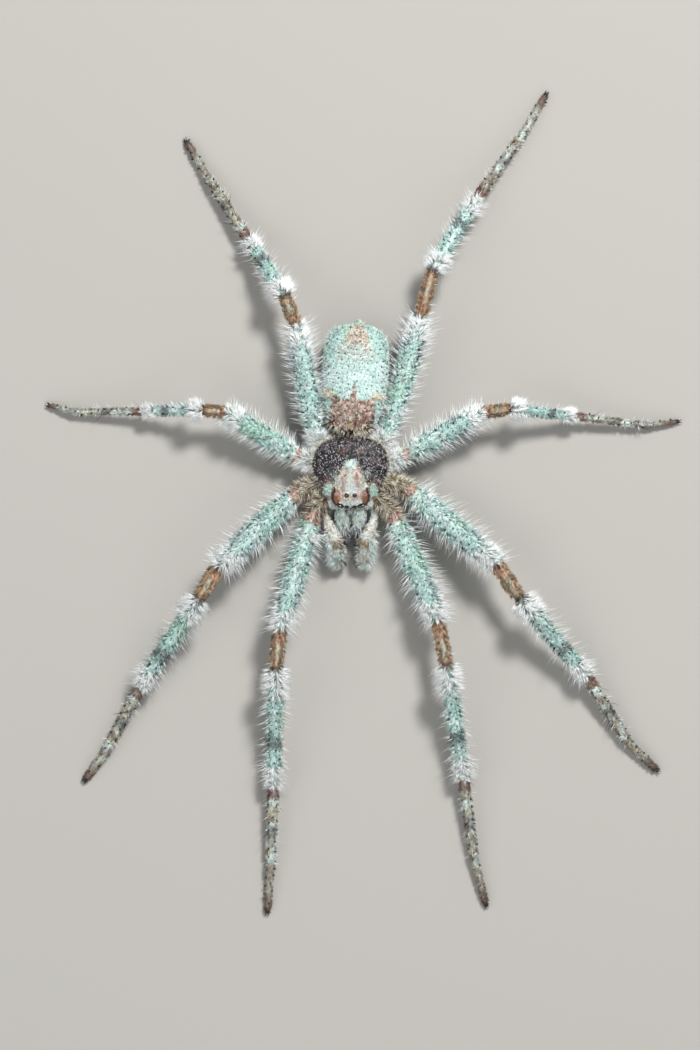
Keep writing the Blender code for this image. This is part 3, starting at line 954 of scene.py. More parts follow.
    def jaw(self, points: Array, place: Place) -> Array:
        """Paint a chelicera: grey-green, dark towards the tip, and dark along the middle where
        the two jaws meet, partly dark hair and partly painted shade in the gap between them.

        Args:
            points: places on it in mm, one row each.
            place: where they lie on the chelicera.

        Returns:
            A linear colour for each place.
        """
        across, _ = self.local(points)
        share = place.along / self.skeleton.limbs["chelicera_left"].length
        return layered(points, GREY_GREEN,
                       (MINT_PALE, 0.3 + 0.6 * smooth(0.35, 0.65, cloud(points, 0.3, 92))),
                       # Partly dark hair, partly painted shade in the gap where the two jaws meet
                       (DARK, 0.75 * smooth(0.20, 0.05, np.abs(across))),
                       (DARK, 0.85 * smooth(0.80, 0.97, share)))

    def underside(self, points: Array) -> Array:
        """Paint the sternum: plain pale brown, as such spiders have."""
        return layered(points, TAN,
                       (CREAM, 0.6 * smooth(0.3, 0.7, cloud(points, 0.6, 95))))


@dataclass
class Skin:
    """The single closed skin over all flesh, and which limb owns each part of it."""

    skeleton: Skeleton
    paint: Paint
    thing: bpy.types.Object = field(init=False)
    corners: Array = field(init=False)
    normals: Array = field(init=False)
    areas: Array = field(init=False)
    owners: Array = field(init=False)
    names: list[str] = field(init=False)

    def build(self) -> None:
        """Loft all limbs, melt them into one skin and paint it."""
        bm = bmesh.new()
        for limb in self.skeleton.limbs.values():
            limb.add_to(bm)
        self.add_eye_lobes(bm)
        bmesh.ops.recalc_face_normals(bm, faces=bm.faces[:])
        rough = bpy.data.meshes.new("skin_rough")
        bm.to_mesh(rough)
        bm.free()
        holder = put_in_scene("skin_rough", rough)
        melt = holder.modifiers.new("melt", "REMESH")
        melt.mode = "VOXEL"
        melt.voxel_size = SKIN_VOXEL
        melt.use_smooth_shade = True
        graph = bpy.context.evaluated_depsgraph_get()
        mesh = bpy.data.meshes.new_from_object(holder.evaluated_get(graph))
        bpy.data.objects.remove(holder)
        bm = bmesh.new()
        bm.from_mesh(mesh)
        for _ in range(3):
            bmesh.ops.smooth_vert(bm, verts=bm.verts[:], factor=0.5, use_axis_x=True,
                                  use_axis_y=True, use_axis_z=True)
        self.refine_head(bm)
        bmesh.ops.triangulate(bm, faces=bm.faces[:])
        self.sculpt(bm)
        bm.to_mesh(mesh)
        bm.free()
        mesh.name = "skin"
        self.thing = put_in_scene("skin", mesh)
        self.read_faces()
        self.paint_vertices()
        mesh.transform(Matrix.Scale(MM, 4))
        mesh.shade_smooth()

    def add_eye_lobes(self, bm: bmesh.types.BMesh) -> None:
        """Add the swellings that carry the side eyes.

        Args:
            bm: the bmesh they are added to, in mm.
        """
        for mirror in (1.0, -1.0):
            for across, back, height, sizes in (
                    (1.34, -2.55, 3.74, (0.42, 0.74, 0.48)),
                    (1.44, -1.98, 3.90, (0.30, 0.34, 0.34)),
                    (1.02, -3.10, 3.54, (0.46, 0.28, 0.32))):
                centre = self.skeleton.origin + (across * mirror, back, height)
                size = Matrix.Diagonal((*sizes, 1.0))
                bmesh.ops.create_uvsphere(bm, u_segments=20, v_segments=12, radius=1.0,
                                          matrix=Matrix.Translation(centre) @ size)

    def refine_head(self, bm: bmesh.types.BMesh) -> None:
        """Give the face a finer mesh, so that grooves and sockets hold.

        Args:
            bm: the skin, in mm.
        """
        for reach in (0.0, 0.25):
            edges = []
            for edge in bm.edges:
                middle = (edge.verts[0].co + edge.verts[1].co) / 2.0
                own = np.array(middle) - self.skeleton.origin
                if -3.85 < own[1] < -1.5 - reach and abs(own[0]) < 1.95 and own[2] > 3.0:
                    edges.append(edge)
            bmesh.ops.subdivide_edges(bm, edges=edges, cuts=1, use_grid_fill=True,
                                      smooth=1.0)

    def sculpt(self, bm: bmesh.types.BMesh) -> None:
        """Press the grooves of the thorax and the eye sockets into the skin.

        Args:
            bm: the skin, in mm.
        """
        bm.normal_update()
        verts = bm.verts[:]
        points = np.array([vert.co for vert in verts])
        own = points - self.skeleton.origin
        near = (np.abs(own[:, 1]) < 4.0) & (np.abs(own[:, 0]) < 3.8) & (own[:, 2] > 2.8)
        own, wide = own[near], np.abs(own[near, 0])
        # The pit line on the middle of the thorax
        depth = -0.07 * np.exp(-(wide / 0.12) ** 2) * band(own[:, 1], 1.7, 2.7, 0.2)
        # Four rays from the middle of the thorax on each side
        bearing = np.degrees(np.arctan2(own[:, 1] - 1.5, wide))
        ring = band(np.hypot(wide, own[:, 1] - 1.5), 0.9, 2.5, 0.4)
        for angle in (50.0, 18.0, -12.0, -42.0):
            depth -= 0.07 * np.exp(-((bearing - angle) / 6.0) ** 2) * ring
        # The groove between head and thorax
        neck = np.abs((wide - 0.30) * 0.76 + (own[:, 1] - 0.45) * 0.65)
        depth -= 0.10 * np.exp(-(neck / 0.16) ** 2) * band(wide, 0.2, 1.9, 0.2)
        # The inner edge of the eye swellings
        lobe = oval(wide, own[:, 1], (1.50, -2.62), (0.42, 0.78))
        depth -= 0.05 * np.exp(-((lobe - 1.08) / 0.12) ** 2) * smooth(1.5, 1.2, wide)
        # A low rim round each eye
        rims = self.paint.eye_rims(points[near], 0.12) - self.paint.eye_rims(points[near], 0.04)
        depth += 0.04 * np.clip(rims, 0.0, 1.0)
        for vert, push in zip(np.array(verts, object)[near], depth):
            if abs(push) > 1e-4:
                vert.co += vert.normal * float(push)

    def own(self, points: Array) -> Array:
        """Say which limb each point belongs to.

        Args:
            points: places on the skin, one row each, in mm.

        Returns:
            For each point, the limb's number in names.
        """
        self.names = list(self.skeleton.limbs)
        measures = [self.skeleton.limbs[name].locate(points).measure for name in self.names]
        return np.argmin(measures, axis=0)

    def vertices(self) -> Array:
        """Read the places of the skin's vertices.

        Returns:
            The places, one row each.
        """
        mesh = self.thing.data
        verts = np.empty(len(mesh.vertices) * 3)
        mesh.vertices.foreach_get("co", verts)
        return verts.reshape(-1, 3)

    def read_faces(self) -> None:
        """Read the skin's triangles, in mm, and find their owners."""
        mesh = self.thing.data
        loops = np.empty(len(mesh.loops), int)
        mesh.loops.foreach_get("vertex_index", loops)
        self.corners = self.vertices()[loops.reshape(-1, 3)]
        cross = np.cross(self.corners[:, 1] - self.corners[:, 0],
                         self.corners[:, 2] - self.corners[:, 0])
        self.areas = np.linalg.norm(cross, axis=1) / 2.0
        self.normals = unit(cross)
        self.owners = self.own(self.corners.mean(axis=1))

    def paint_vertices(self) -> None:
        """Store the markings on the skin, darkened by painted shade, as an attribute."""
        points = self.vertices()
        owners = self.own(points)
        tint = np.zeros((len(points), 4))
        for number, name in enumerate(self.names):
            mine = owners == number
            if not mine.any():
                continue
            place = self.skeleton.limbs[name].locate(points[mine])
            # Painted shade: the skin's colour is darkened, more under fur than on the patella and
            # the head part, where the coat is thin
            shade = np.full(int(mine.sum()), FUR_PAINTED_SHADE)
            if name.startswith("leg"):
                shade[place.span == Leg.PATELLA.value] = THIN_COAT_PAINTED_SHADE
            if name in ("thorax", "head"):
                shade[:] = THIN_COAT_PAINTED_SHADE
                tint[mine, 3] = self.paint.lobes(points[mine])
            tint[mine, :3] = self.paint.colour(name, points[mine], place) * shade[:, None]
        layer = self.thing.data.attributes.new("tint", "FLOAT_COLOR", "POINT")
        layer.data.foreach_set("color", tint.astype(np.float32).ravel())


@dataclass
class Roots:
    """Places on the skin where tufts grow, one row each."""

    points: Array
    normals: Array
    place: Place

    @property
    def outward(self) -> Array:
        """How far each normal points to the limb's left side, from -1 to 1."""
        return np.sum(self.normals * self.place.across, axis=1)

    def only(self, keep: Array) -> Roots:
        """Keep the rows that a mask or a list of numbers names."""
        kept = Place(**{name: getattr(self.place, name)[keep]
                        for name in self.place.__dataclass_fields__})
        return Roots(self.points[keep], self.normals[keep], kept)


class Kind(Enum):
    """The two shapes a hair is made of."""

    PLUME = "short hair, widest at its middle"
    BRISTLE = "long hair, widest at its root"


@dataclass(frozen=True)
class Hair:
    """One sort of hair, with its length, radius and spread in mm.

    The lift says how far it stands off at its root, 0 flat and 1 upright. Uneven is how much
    darker or lighter one tuft may be than the next. The spread is how wide a tuft's strands
    are set, the stray how far they point apart, and the tip's light how much it pales.
    """

    lift: float
    length: float
    radius: float
    strands: int = 4
    uneven: float = 0.2
    kind: Kind = Kind.PLUME
    spread: float = 0.05
    stray: float = 0.16
    tip_light: float = 0.12


@dataclass
class Tufts:
    """Tufts of one sort of hair, one row each: place, lie, size and colour."""

    roots: Array
    stand: Array
    lie: Array
    length: Array
    tint: Array
    patch: Array
    hair: Hair


class Strand:
    """One closed hair with three sides, standing along Z, one unit long and thick."""

    def __init__(self, kind: Kind) -> None:
        """Model the hair with bmesh and read it as arrays.

        Args:
            kind: the hair's shape.
        """
        bm = bmesh.new()
        if kind is Kind.PLUME:
            bmesh.ops.create_cone(bm, cap_ends=True, segments=3, radius1=1.0, radius2=0.0,
                                  depth=0.58, matrix=Matrix.Translation((0.0, 0.0, 0.71)))
            bmesh.ops.remove_doubles(bm, verts=bm.verts[:], dist=0.001)
            cap = [min(bm.faces, key=lambda face: face.calc_center_median().z)]
            bmesh.ops.poke(bm, faces=cap)["verts"][0].co = (0.0, 0.0, 0.0)
        else:
            bmesh.ops.create_circle(bm, cap_ends=True, segments=3, radius=1.0)
            grown = bmesh.ops.extrude_face_region(bm, geom=bm.faces[:])["geom"]
            tops = [item for item in grown if isinstance(item, bmesh.types.BMVert)]
            bmesh.ops.scale(bm, vec=(0.75, 0.75, 1.0), verts=tops)
            bmesh.ops.translate(bm, vec=(0.0, 0.0, 0.45), verts=tops)
            cap = [item for item in grown if isinstance(item, bmesh.types.BMFace)]
            bmesh.ops.poke(bm, faces=cap)["verts"][0].co = (0.0, 0.0, 1.0)
        bmesh.ops.recalc_face_normals(bm, faces=bm.faces[:])
        bmesh.ops.triangulate(bm, faces=bm.faces[:])
        bm.verts.index_update()
        self.verts = np.array([vert.co for vert in bm.verts])
        self.faces = np.array([[vert.index for vert in face.verts] for face in bm.faces])
        bm.free()
        # One small patch of the map, on which the hair is seen a little from the side
        spread = self.verts[:, 0] * 0.8 + self.verts[:, 1] * 0.35
        rise = self.verts[:, 2] + 0.25 * self.verts[:, 1]
        self.patch = np.stack(((rise - rise.mean()), spread), axis=-1)
        self.patch *= UV_PATCH / 2.2


class Coat:
    """One coat piece: many tufts joined into a single mesh."""

    def __init__(self, name: str, limbs: list[str], rng: np.random.Generator) -> None:
        """Start an empty coat piece.

        Args:
            name: the piece's name.
            limbs: the limbs it grows on, each with its own strip of the unwrap.
            rng: where the random draws come from.
        """
        self.name = name
        self.limbs = limbs
        self.rng = rng
        self.strands = {kind: Strand(kind) for kind in Kind}
        self.verts: list[Array] = []
        self.faces: list[Array] = []
        self.tints: list[Array] = []
        self.patches: list[Array] = []
        self.size = 0

    def add(self, limb: str, tufts: Tufts) -> None:
        """Grow every hair of a set of tufts on one limb.

        Args:
            limb: the limb they grow on.
            tufts: the tufts.
        """
        rng, hair = self.rng, tufts.hair
        count = len(tufts.roots) * hair.strands
        if not count:
            return
        shape = self.strands[hair.kind]
        rows = np.repeat(np.arange(len(tufts.roots)), hair.strands)
        stand = unit(tufts.stand[rows] + rng.normal(0.0, hair.stray, (count, 3)))
        lie = unit(tufts.lie[rows] + rng.normal(0.0, hair.stray, (count, 3)))
        roots = tufts.roots[rows] + rng.normal(0.0, hair.spread, (count, 3))
        length = tufts.length[rows] * rng.uniform(0.78, 1.12, count)
        radius = hair.radius * rng.uniform(0.8, 1.2, count)
        height = shape.verts[:, 2]
        rise = (height - height ** 2 / 2.0)[None, :, None] * stand[:, None, :]
        swing = (height ** 2 / 2.0)[None, :, None] * lie[:, None, :]
        middle = unit(stand + lie)
        aside = unit(np.cross(middle, rng.normal(0.0, 1.0, (count, 3))))
        beside = np.cross(middle, aside)
        flat = shape.verts[:, 0][None, :, None] * aside[:, None, :]
        flat = flat + shape.verts[:, 1][None, :, None] * beside[:, None, :]
        verts = (roots[:, None, :] + (rise + swing) * length[:, None, None]
                 + flat * radius[:, None, None])
        verts[..., 2] = np.maximum(verts[..., 2], 0.0)
        tint = tufts.tint[rows] * rng.uniform(0.90, 1.10, (count, 1))
        lighter = 1.0 + hair.tip_light * (height - 0.5)
        colours = np.clip(tint[:, None, :] * lighter[None, :, None], 0.0, WHITEST)
        patch = tufts.patch[rows].copy()
        patch[:, 1] = (patch[:, 1] + self.limbs.index(limb)) / len(self.limbs)
        self.verts.append(verts.reshape(-1, 3))
        self.tints.append(colours.reshape(-1, 3))
        self.patches.append((patch[:, None, :] + shape.patch).reshape(-1, 2))
        starts = self.size + len(shape.verts) * np.arange(count)
        self.faces.append((shape.faces[None] + starts[:, None, None]).reshape(-1, 3))
        self.size += count * len(shape.verts)

    def finish(self, material: bpy.types.Material) -> bpy.types.Object:
        """Join all hairs into one piece.

        Args:
            material: the finish of the hairs.

        Returns:
            The piece, linked to the scene.
        """
        verts = np.concatenate(self.verts) * MM
        loops = np.concatenate(self.faces).reshape(-1)
        mesh = bpy.data.meshes.new(self.name)
        mesh.vertices.add(len(verts))
        mesh.vertices.foreach_set("co", verts.astype(np.float32).ravel())
        mesh.loops.add(len(loops))
        mesh.loops.foreach_set("vertex_index", loops.astype(np.int32))
        mesh.polygons.add(len(loops) // 3)
        mesh.polygons.foreach_set("loop_start", np.arange(0, len(loops), 3, dtype=np.int32))
        layer = mesh.attributes.new("tint", "FLOAT_COLOR", "POINT")
        colours = np.zeros((len(verts), 4), np.float32)
        colours[:, :3] = np.concatenate(self.tints)
        layer.data.foreach_set("color", colours.ravel())
        uv = mesh.uv_layers.new(name="OFBake")
        patches = np.concatenate(self.patches)
        uv.data.foreach_set("uv", patches[loops].astype(np.float32).ravel())
        mesh.update(calc_edges=True)
        mesh.validate()
        mesh.shade_smooth()
        mesh.materials.append(material)
        thing = put_in_scene(self.name, mesh)
        LOG.info("%s: %d triangles", self.name, len(loops) // 3)
        return thing


Rule = Callable[[Roots], Array]


def by_span(place: Place, *values: float) -> Array:
    """Give each place the value of its leg span, coxa first."""
    return np.array(values)[place.span]


# Every sort of hair. A lift or length of 0 is worked out where the hair grows
HAIR = {
    "down": Hair(0.0, 0.0, 0.027, strands=5, uneven=0.36),
    "shank down": Hair(0.0, 0.0, 0.021, strands=5, uneven=0.36),
    "fringe plume": Hair(0.35, 0.58, 0.024, strands=3, uneven=0.12, stray=0.10),
    "fringe bristle": Hair(0.35, 1.18, 0.025, strands=1, uneven=0.12, kind=Kind.BRISTLE,
                           stray=0.10),
    "femur bunch": Hair(0.40, 1.05, 0.024, uneven=0.12, stray=0.2),
    "knee bunch": Hair(0.50, 1.25, 0.024, uneven=0.12, stray=0.2),
    "shin bunch": Hair(0.40, 0.90, 0.024, uneven=0.12, stray=0.2),
    "hip bunch": Hair(0.45, 0.90, 0.024, uneven=0.12, stray=0.2),
    "front hip": Hair(0.55, 1.15, 0.024, strands=2, kind=Kind.BRISTLE, stray=0.3),
    "rear hip": Hair(0.55, 1.3, 0.024, strands=3, kind=Kind.BRISTLE, stray=0.3),
    "leg dot": Hair(0.75, 0.30, 0.042, strands=6, spread=0.045, stray=0.15, tip_light=0.0),
    "spine": Hair(0.55, 1.4, 0.026, strands=1, kind=Kind.BRISTLE, spread=0.0, stray=0.08,
                  tip_light=0.4),
    "abdomen dot": Hair(0.7, 0.24, 0.032, strands=5, spread=0.03, tip_light=0.0),
    "abdomen scale": Hair(0.35, 0.28, 0.026, strands=5, uneven=0.28),
    "abdomen side": Hair(0.5, 0.62, 0.018, strands=2, kind=Kind.BRISTLE),
    "abdomen front": Hair(0.5, 0.60, 0.028, strands=2, kind=Kind.BRISTLE, stray=0.2),
    "shoulder": Hair(0.5, 0.5, 0.024),
    "spinneret": Hair(0.3, 0.3, 0.020),
    "carapace scale": Hair(0.4, 0.18, 0.026, strands=3, uneven=0.25, spread=0.024, stray=0.2),
    "brow": Hair(0.4, 0.19, 0.022, strands=3, stray=0.25),
    "clypeus": Hair(0.5, 0.60, 0.022, strands=2, kind=Kind.BRISTLE, stray=0.35),
    "cheek": Hair(0.4, 0.32, 0.022, uneven=0.25, stray=0.25),
    "thorax rim": Hair(0.5, 0.5, 0.018, strands=2, kind=Kind.BRISTLE, stray=0.25),
    "palp scale": Hair(0.40, 0.0, 0.022, strands=5, uneven=0.28, stray=0.2),
    "palp dot": Hair(0.6, 0.24, 0.024, spread=0.03),
    "palp side": Hair(0.45, 0.0, 0.022, strands=2, uneven=0.25, kind=Kind.BRISTLE, stray=0.2),
    "jaw scale": Hair(0.35, 0.26, 0.022, uneven=0.3, stray=0.2),
    "jaw bristle": Hair(0.5, 0.75, 0.018, strands=2, kind=Kind.BRISTLE),
    "sternum": Hair(0.4, 0.3, 0.018, strands=3),
}


@dataclass
class Groomer:
    """Grows the coat of every limb on the finished skin."""

    skin: Skin
    paint: Paint
    material: bpy.types.Material
    rng: np.random.Generator = field(default_factory=lambda: np.random.default_rng(SEED))

    def scatter(self, name: str, rule: Rule | None, count: int) -> Roots:
        """Choose root places on one limb.

        Args:
            name: the limb.
            rule: how dense the tufts stand at each place, or None for evenly.
            count: how many to choose.

        Returns:
            The places chosen.
        """
        skin = self.skin
        faces = np.flatnonzero(skin.owners == skin.names.index(name))
        middles = skin.corners[faces].mean(axis=1)
        limb = skin.skeleton.limbs[name]
        every = Roots(middles, skin.normals[faces], limb.locate(middles))
        weight = skin.areas[faces] * (rule(every) if rule else 1.0)
        total = float(weight.sum())
        if total <= 0.0:
            return every.only(np.zeros(len(faces), bool))
        chosen = faces[self.rng.choice(len(faces), size=count, p=weight / total)]
        first, second = self.rng.random(count), self.rng.random(count)
        over = first + second > 1.0
        first[over], second[over] = 1.0 - first[over], 1.0 - second[over]
        tri = skin.corners[chosen]
        points = tri[:, 0] + first[:, None] * (tri[:, 1] - tri[:, 0])
        points = points + second[:, None] * (tri[:, 2] - tri[:, 0])
        return Roots(points, skin.normals[chosen], limb.locate(points))

    def spaced(self, name: str, rule: Rule | None, count: int, gap: float) -> Roots:
        """Choose root places that keep a distance from each other.

        Args:
            name: the limb.
            rule: how dense they stand at each place, or None for evenly.
            count: how many are tried.
            gap: the least distance between two, in mm.

        Returns:
            The places kept.
        """
        roots = self.scatter(name, rule, count)
        kept: list[int] = []
        for number, point in enumerate(roots.points):
            if not kept or np.min(np.linalg.norm(roots.points[kept] - point, axis=1)) > gap:
                kept.append(number)
        return roots.only(np.array(kept, int))

    def patch(self, name: str, place: Place) -> Array:
        """Unwrap places on a limb: along it, and around it.

        Args:
            name: the limb.
            place: where the places lie on it.

        Returns:
            A place in the OFBake map for each, before the limbs get their strips.
        """
        length = self.skin.skeleton.limbs[name].length
        inside = 1.0 - 2.0 * UV_MARGIN
        along = UV_MARGIN + inside * np.clip(place.along / length, 0.0, 1.0)
        around = UV_MARGIN + inside * (place.angle + math.pi) / (2.0 * math.pi)
        return np.stack((along, around), axis=-1)

    def speckled(self, ground: Array, fleck: Array, count: int, share: float) -> Array:
        """Give a colour for each of some tufts, with a share of them flecked."""
        return mix(ground, fleck, self.rng.random(count) < share)

    def grow(self, coat: Coat, name: str, roots: Roots, lie: Array, hair: Hair,
             tint: Array | None = None, lift: Array | None = None,
             length: Array | None = None) -> None:
        """Grow tufts at roots.

        Args:
            coat: the coat piece they go into.
            name: the limb they grow on.
            roots: where they grow.
            lie: the way the hair ends up pointing.
            hair: the sort of hair.
            tint: its colour, or None for the skin's own markings.
            lift: how far each stands off at its root, or None for the sort's own lift.
            length: how long each is in mm, or None for the sort's own length.
        """
        count = len(roots.points)
        lie = unit(np.broadcast_to(lie, (count, 3)))
        lift = np.broadcast_to(hair.lift if lift is None else lift, (count,))[:, None]
        length = np.broadcast_to(hair.length if length is None else length, (count,))
        stand = unit(lie * (1.0 - lift) + roots.normals * lift)
        bent = unit(lie + roots.normals * lift * 0.35)
        if tint is None:
            tint = self.paint.colour(name, roots.points, roots.place)
        tint = np.broadcast_to(tint, (count, 3)) * self.rng.uniform(
            1.0 - 1.4 * hair.uneven, 1.0 + 0.6 * hair.uneven, (count, 1))
        coat.add(name, Tufts(roots.points - roots.normals * ROOT_DEPTH, stand, bent, length,
                             tint, self.patch(name, roots.place), hair))

    def leg(self, name: str) -> bpy.types.Object:
        """Grow the coat of one leg: down, dots, side fringes, white tufts and spines.

        Args:
            name: the leg.

        Returns:
            The finished coat piece.
        """
        coat = Coat(f"coat_{name}", [name], self.rng)
        self.leg_down(coat, name)
        for sign in (1.0, -1.0):
            self.leg_fringe(coat, name, sign)
        self.leg_bunches(coat, name)
        self.leg_spines(coat, name)
        return coat.finish(self.material)

    def away(self, roots: Roots, dark: Roots, gap: float, over: float) -> Roots:
        """Drop roots whose plumes would hide a dark tuft.

        Args:
            roots: places to thin out.
            dark: places of the dark tufts.
            gap: how near a root may come, in mm.
            over: how far the plumes reach past their root, in mm.

        Returns:
            The roots that leave the dark tufts free.
        """
        tree = KDTree(len(dark.points))
        for number, point in enumerate(dark.points):
            tree.insert(point, number)
        tree.balance()
        free = [min(tree.find(point)[2], tree.find(point + run * over)[2]) > gap
                for point, run in zip(roots.points, roots.place.run)]
        return roots.only(np.array(free, bool))

    def leg_down(self, coat: Coat, name: str) -> None:
        """Cover a leg with short plumes that lie outwards and towards the foot.

        Args:
            coat: the leg's coat piece.
            name: the leg.
        """
        pair = PAIRS[int(name[3])]

        def rule(roots: Roots) -> Array:
            """Grow thicker towards the foot, and thinner underneath."""
            thick = by_span(roots.place, 0.8, 1.0, 0.65, 1.1, 1.5, 1.8)
            return thick * (0.4 + 0.6 * smooth(-0.8, -0.1, roots.place.crest))

        def dark(roots: Roots) -> Array:
            """Keep the dark tufts on top, off coxa, patella and each near end."""
            part = by_span(roots.place, 0.0, 1.0, 0.0, 1.0, 1.3, 0.4)
            part = part * smooth(0.06, 0.12, roots.place.share)
            return part * smooth(-0.3, 0.1, roots.place.crest)

        spots = self.spaced(name, dark, 1200, 0.52)
        lie = spots.place.run * 0.5 + spots.normals
        self.grow(coat, name, spots, lie, HAIR["leg dot"], DOT)
        roots = self.away(self.scatter(name, rule, 3600), spots, 0.15, 0.24)
        place = roots.place
        outward = np.clip(roots.outward, -1.0, 1.0)
        fluffy = by_span(place, 0.7, 0.85, 0.3, 0.8, 0.25, 0.1)
        lie = place.run * 0.8 + place.across * (outward * fluffy)[:, None]
        lie = lie + roots.normals * (0.25 * fluffy)[:, None]
        length = by_span(place, 0.45, 0.38, 0.28, 0.36, 0.26, 0.22) * pair.breadth
        length = length * (1.0 + 0.55 * outward ** 2)
        length = length * np.where(place.span == Leg.TIBIA.value, pair.shin, 1.0)
        low = place.span >= Leg.METATARSUS.value
        for mask, hair in ((~low, HAIR["down"]), (low, HAIR["shank down"])):
            part = roots.only(mask)
            self.grow(coat, name, part, lie[mask], hair, lift=0.3 + 0.3 * fluffy[mask],
                      length=length[mask])

    def leg_fringe(self, coat: Coat, name: str, sign: float) -> None:
        """Line one side of a leg with long pale hairs that point out and to the foot.

        Args:
            coat: the leg's coat piece.
            name: the leg.
            sign: 1 for its left side and -1 for its right.
        """
        pair = PAIRS[int(name[3])]
        shin = pair.shin ** 2

        def rule(roots: Roots) -> Array:
            """Keep to one side, thickest towards the ends of femur and tibia.

            Args:
                roots: places on the limb.

            Returns:
                How dense the tufts stand at each.
            """
            place = roots.place
            facing = roots.outward * sign
            part = by_span(place, 0.5, 1.0, 0.15, 0.9, 0.30, 0.0)
            femur = smooth(0.02, 0.12, place.share) + 0.7 * smooth(0.6, 0.9, place.share)
            tibia = 0.8 + 2.0 * smooth(0.28, 0.06, place.share)
            tibia = tibia + 1.2 * band(place.share, 0.80, 0.95, 0.05)
            part = part * np.where(place.span == Leg.FEMUR.value, femur, 1.0)
            part = part * np.where(place.span == Leg.TIBIA.value, tibia, 1.0)
            return smooth(0.25, 0.9, facing) * part

        for count, hair in ((80, HAIR["fringe plume"]), (150, HAIR["fringe bristle"])):
            roots = self.scatter(name, rule, count)
            place = roots.place
            length = by_span(place, 0.9, 1.70, 0.8, 1.5 * shin, 0.75, 0.4)
            length = length * hair.length * pair.breadth
            sway = self.rng.uniform(0.25, 1.15, (count, 1))
            rise = self.rng.uniform(-0.25, 0.40, (count, 1))
            lie = place.across * sign + place.run * sway + UP * rise
            tint = mix(WHITE, self.paint.colour(name, roots.points, place), 0.15)
            tint = mix(tint, LAVENDER, 0.5 * (self.rng.random(count) < 0.25))
            self.grow(coat, name, roots, lie, hair, tint, length=length)

    def leg_bunches(self, coat: Coat, name: str) -> None:
        """Grow the white tufts at the femur's end, both tibia ends, and over the coxa.

        Args:
            coat: the leg's coat piece.
            name: the leg.
        """
        number = int(name[3])
        breadth = PAIRS[number].breadth
        # Span, share along it, how far round that, number of tufts, lean forwards, hair
        bunches = ((Leg.FEMUR, 0.90, 0.08, 130, 0.8, HAIR["femur bunch"]),
                   (Leg.TIBIA, 0.09, 0.08, 130, 0.3, HAIR["knee bunch"]),
                   (Leg.TIBIA, 0.90, 0.07, 70, 0.6, HAIR["shin bunch"]),
                   (Leg.FEMUR, 0.20, 0.03, 22, 0.2, HAIR["hip bunch"]))
        for span, share, width, count, forward, hair in bunches:
            def rule(roots: Roots) -> Array:
                """Keep to the top, close round the bunch's place.

                Args:
                    roots: places on the limb.

                Returns:
                    How dense the tufts stand at each.
                """
                place = roots.place
                near = smooth(2.0 * width, 0.0, np.abs(place.share - share))
                near = near * smooth(-0.3, 0.2, place.crest)
                return near * (place.span == span.value)

            roots = self.scatter(name, rule, count)
            outward = roots.outward[:, None]
            lie = roots.place.across * outward * 1.2 + roots.place.run * forward
            lie = lie + roots.normals * 0.3
            self.grow(coat, name, roots, lie, hair, WHITE, length=hair.length * breadth)

        def over_coxa(roots: Roots) -> Array:
            """Keep to the top of the coxa and of the femur's start.

            Args:
                roots: places on the limb.

            Returns:
                How dense the tufts stand at each.
            """
            place = roots.place
            near = (place.span == Leg.COXA.value) + 0.5 * (
                (place.span == Leg.FEMUR.value) & (place.share < 0.05))
            return near * smooth(-0.4, 0.2, place.crest)

        roots = self.scatter(name, over_coxa, 170)
        outward = roots.outward[:, None]
        lie = roots.place.across * outward * 1.2 + roots.place.run * 0.8 + roots.normals * 0.3
        tint = self.speckled(CREAM, BROWN, 170, 0.40)
        front = number < 3
        self.grow(coat, name, roots, lie, HAIR["front hip" if front else "rear hip"],
                  tint if front else WHITE)

    def leg_spines(self, coat: Coat, name: str) -> None:
        """Add the few long dark spines of a leg.

        Args:
            coat: the leg's coat piece.
            name: the leg.
        """
        def rule(roots: Roots) -> Array:
            """Keep to the top of femur, tibia and metatarsus."""
            part = by_span(roots.place, 0.0, 0.5, 0.0, 1.0, 1.2, 0.0)
            return part * smooth(-0.2, 0.2, roots.place.crest)

        roots = self.scatter(name, rule, 14)
        lie = roots.place.run + 0.6 * roots.normals
        self.grow(coat, name, roots, lie, HAIR["spine"], DARK)

    def abdomen(self) -> bpy.types.Object:
        """Grow the coat of the abdomen, lying backwards, with its dots and bristles.

        Returns:
            The finished coat piece.
        """
        coat = Coat("coat_abdomen", ["abdomen", "spinnerets"], self.rng)
        spots = self.spaced("abdomen", lambda roots: smooth(-0.2, 0.2, roots.place.rise),
                            1500, 0.50)
        self.grow(coat, "abdomen", spots, spots.normals + spots.place.run, HAIR["abdomen dot"],
                  DOT)
        roots = self.scatter("abdomen", lambda roots: 0.5 + 0.5 * smooth(
            -0.6, 0.0, roots.normals[:, 2]), 4400)
        roots = self.away(roots, spots, 0.12, 0.18)
        lie = roots.place.run + 0.30 * roots.normals + 0.25 * roots.place.across * np.sign(
            roots.place.side)[:, None]
        tint = self.paint.abdomen(roots.points)
        patch = self.paint.front_patch(roots.place, np.zeros(len(tint)))
        draw = self.rng.random(len(tint))
        tint = mix(tint, CREAM, 0.75 * patch * (draw < 0.28))
        tint = mix(tint, PLUM, 0.75 * patch * (draw > 0.74))
        tint = mix(tint, WHITE, 0.6 * (1.0 - patch) * (draw < 0.12))
        self.grow(coat, "abdomen", roots, lie, HAIR["abdomen scale"], tint)
        roots = self.scatter("abdomen", lambda roots: smooth(
            0.35, 0.8, np.abs(roots.normals[:, 0])) * smooth(-0.5, 0.0, roots.normals[:, 2]), 300)
        lie = roots.normals + 0.8 * roots.place.run
        self.grow(coat, "abdomen", roots, lie, HAIR["abdomen side"], MINT_PALE)
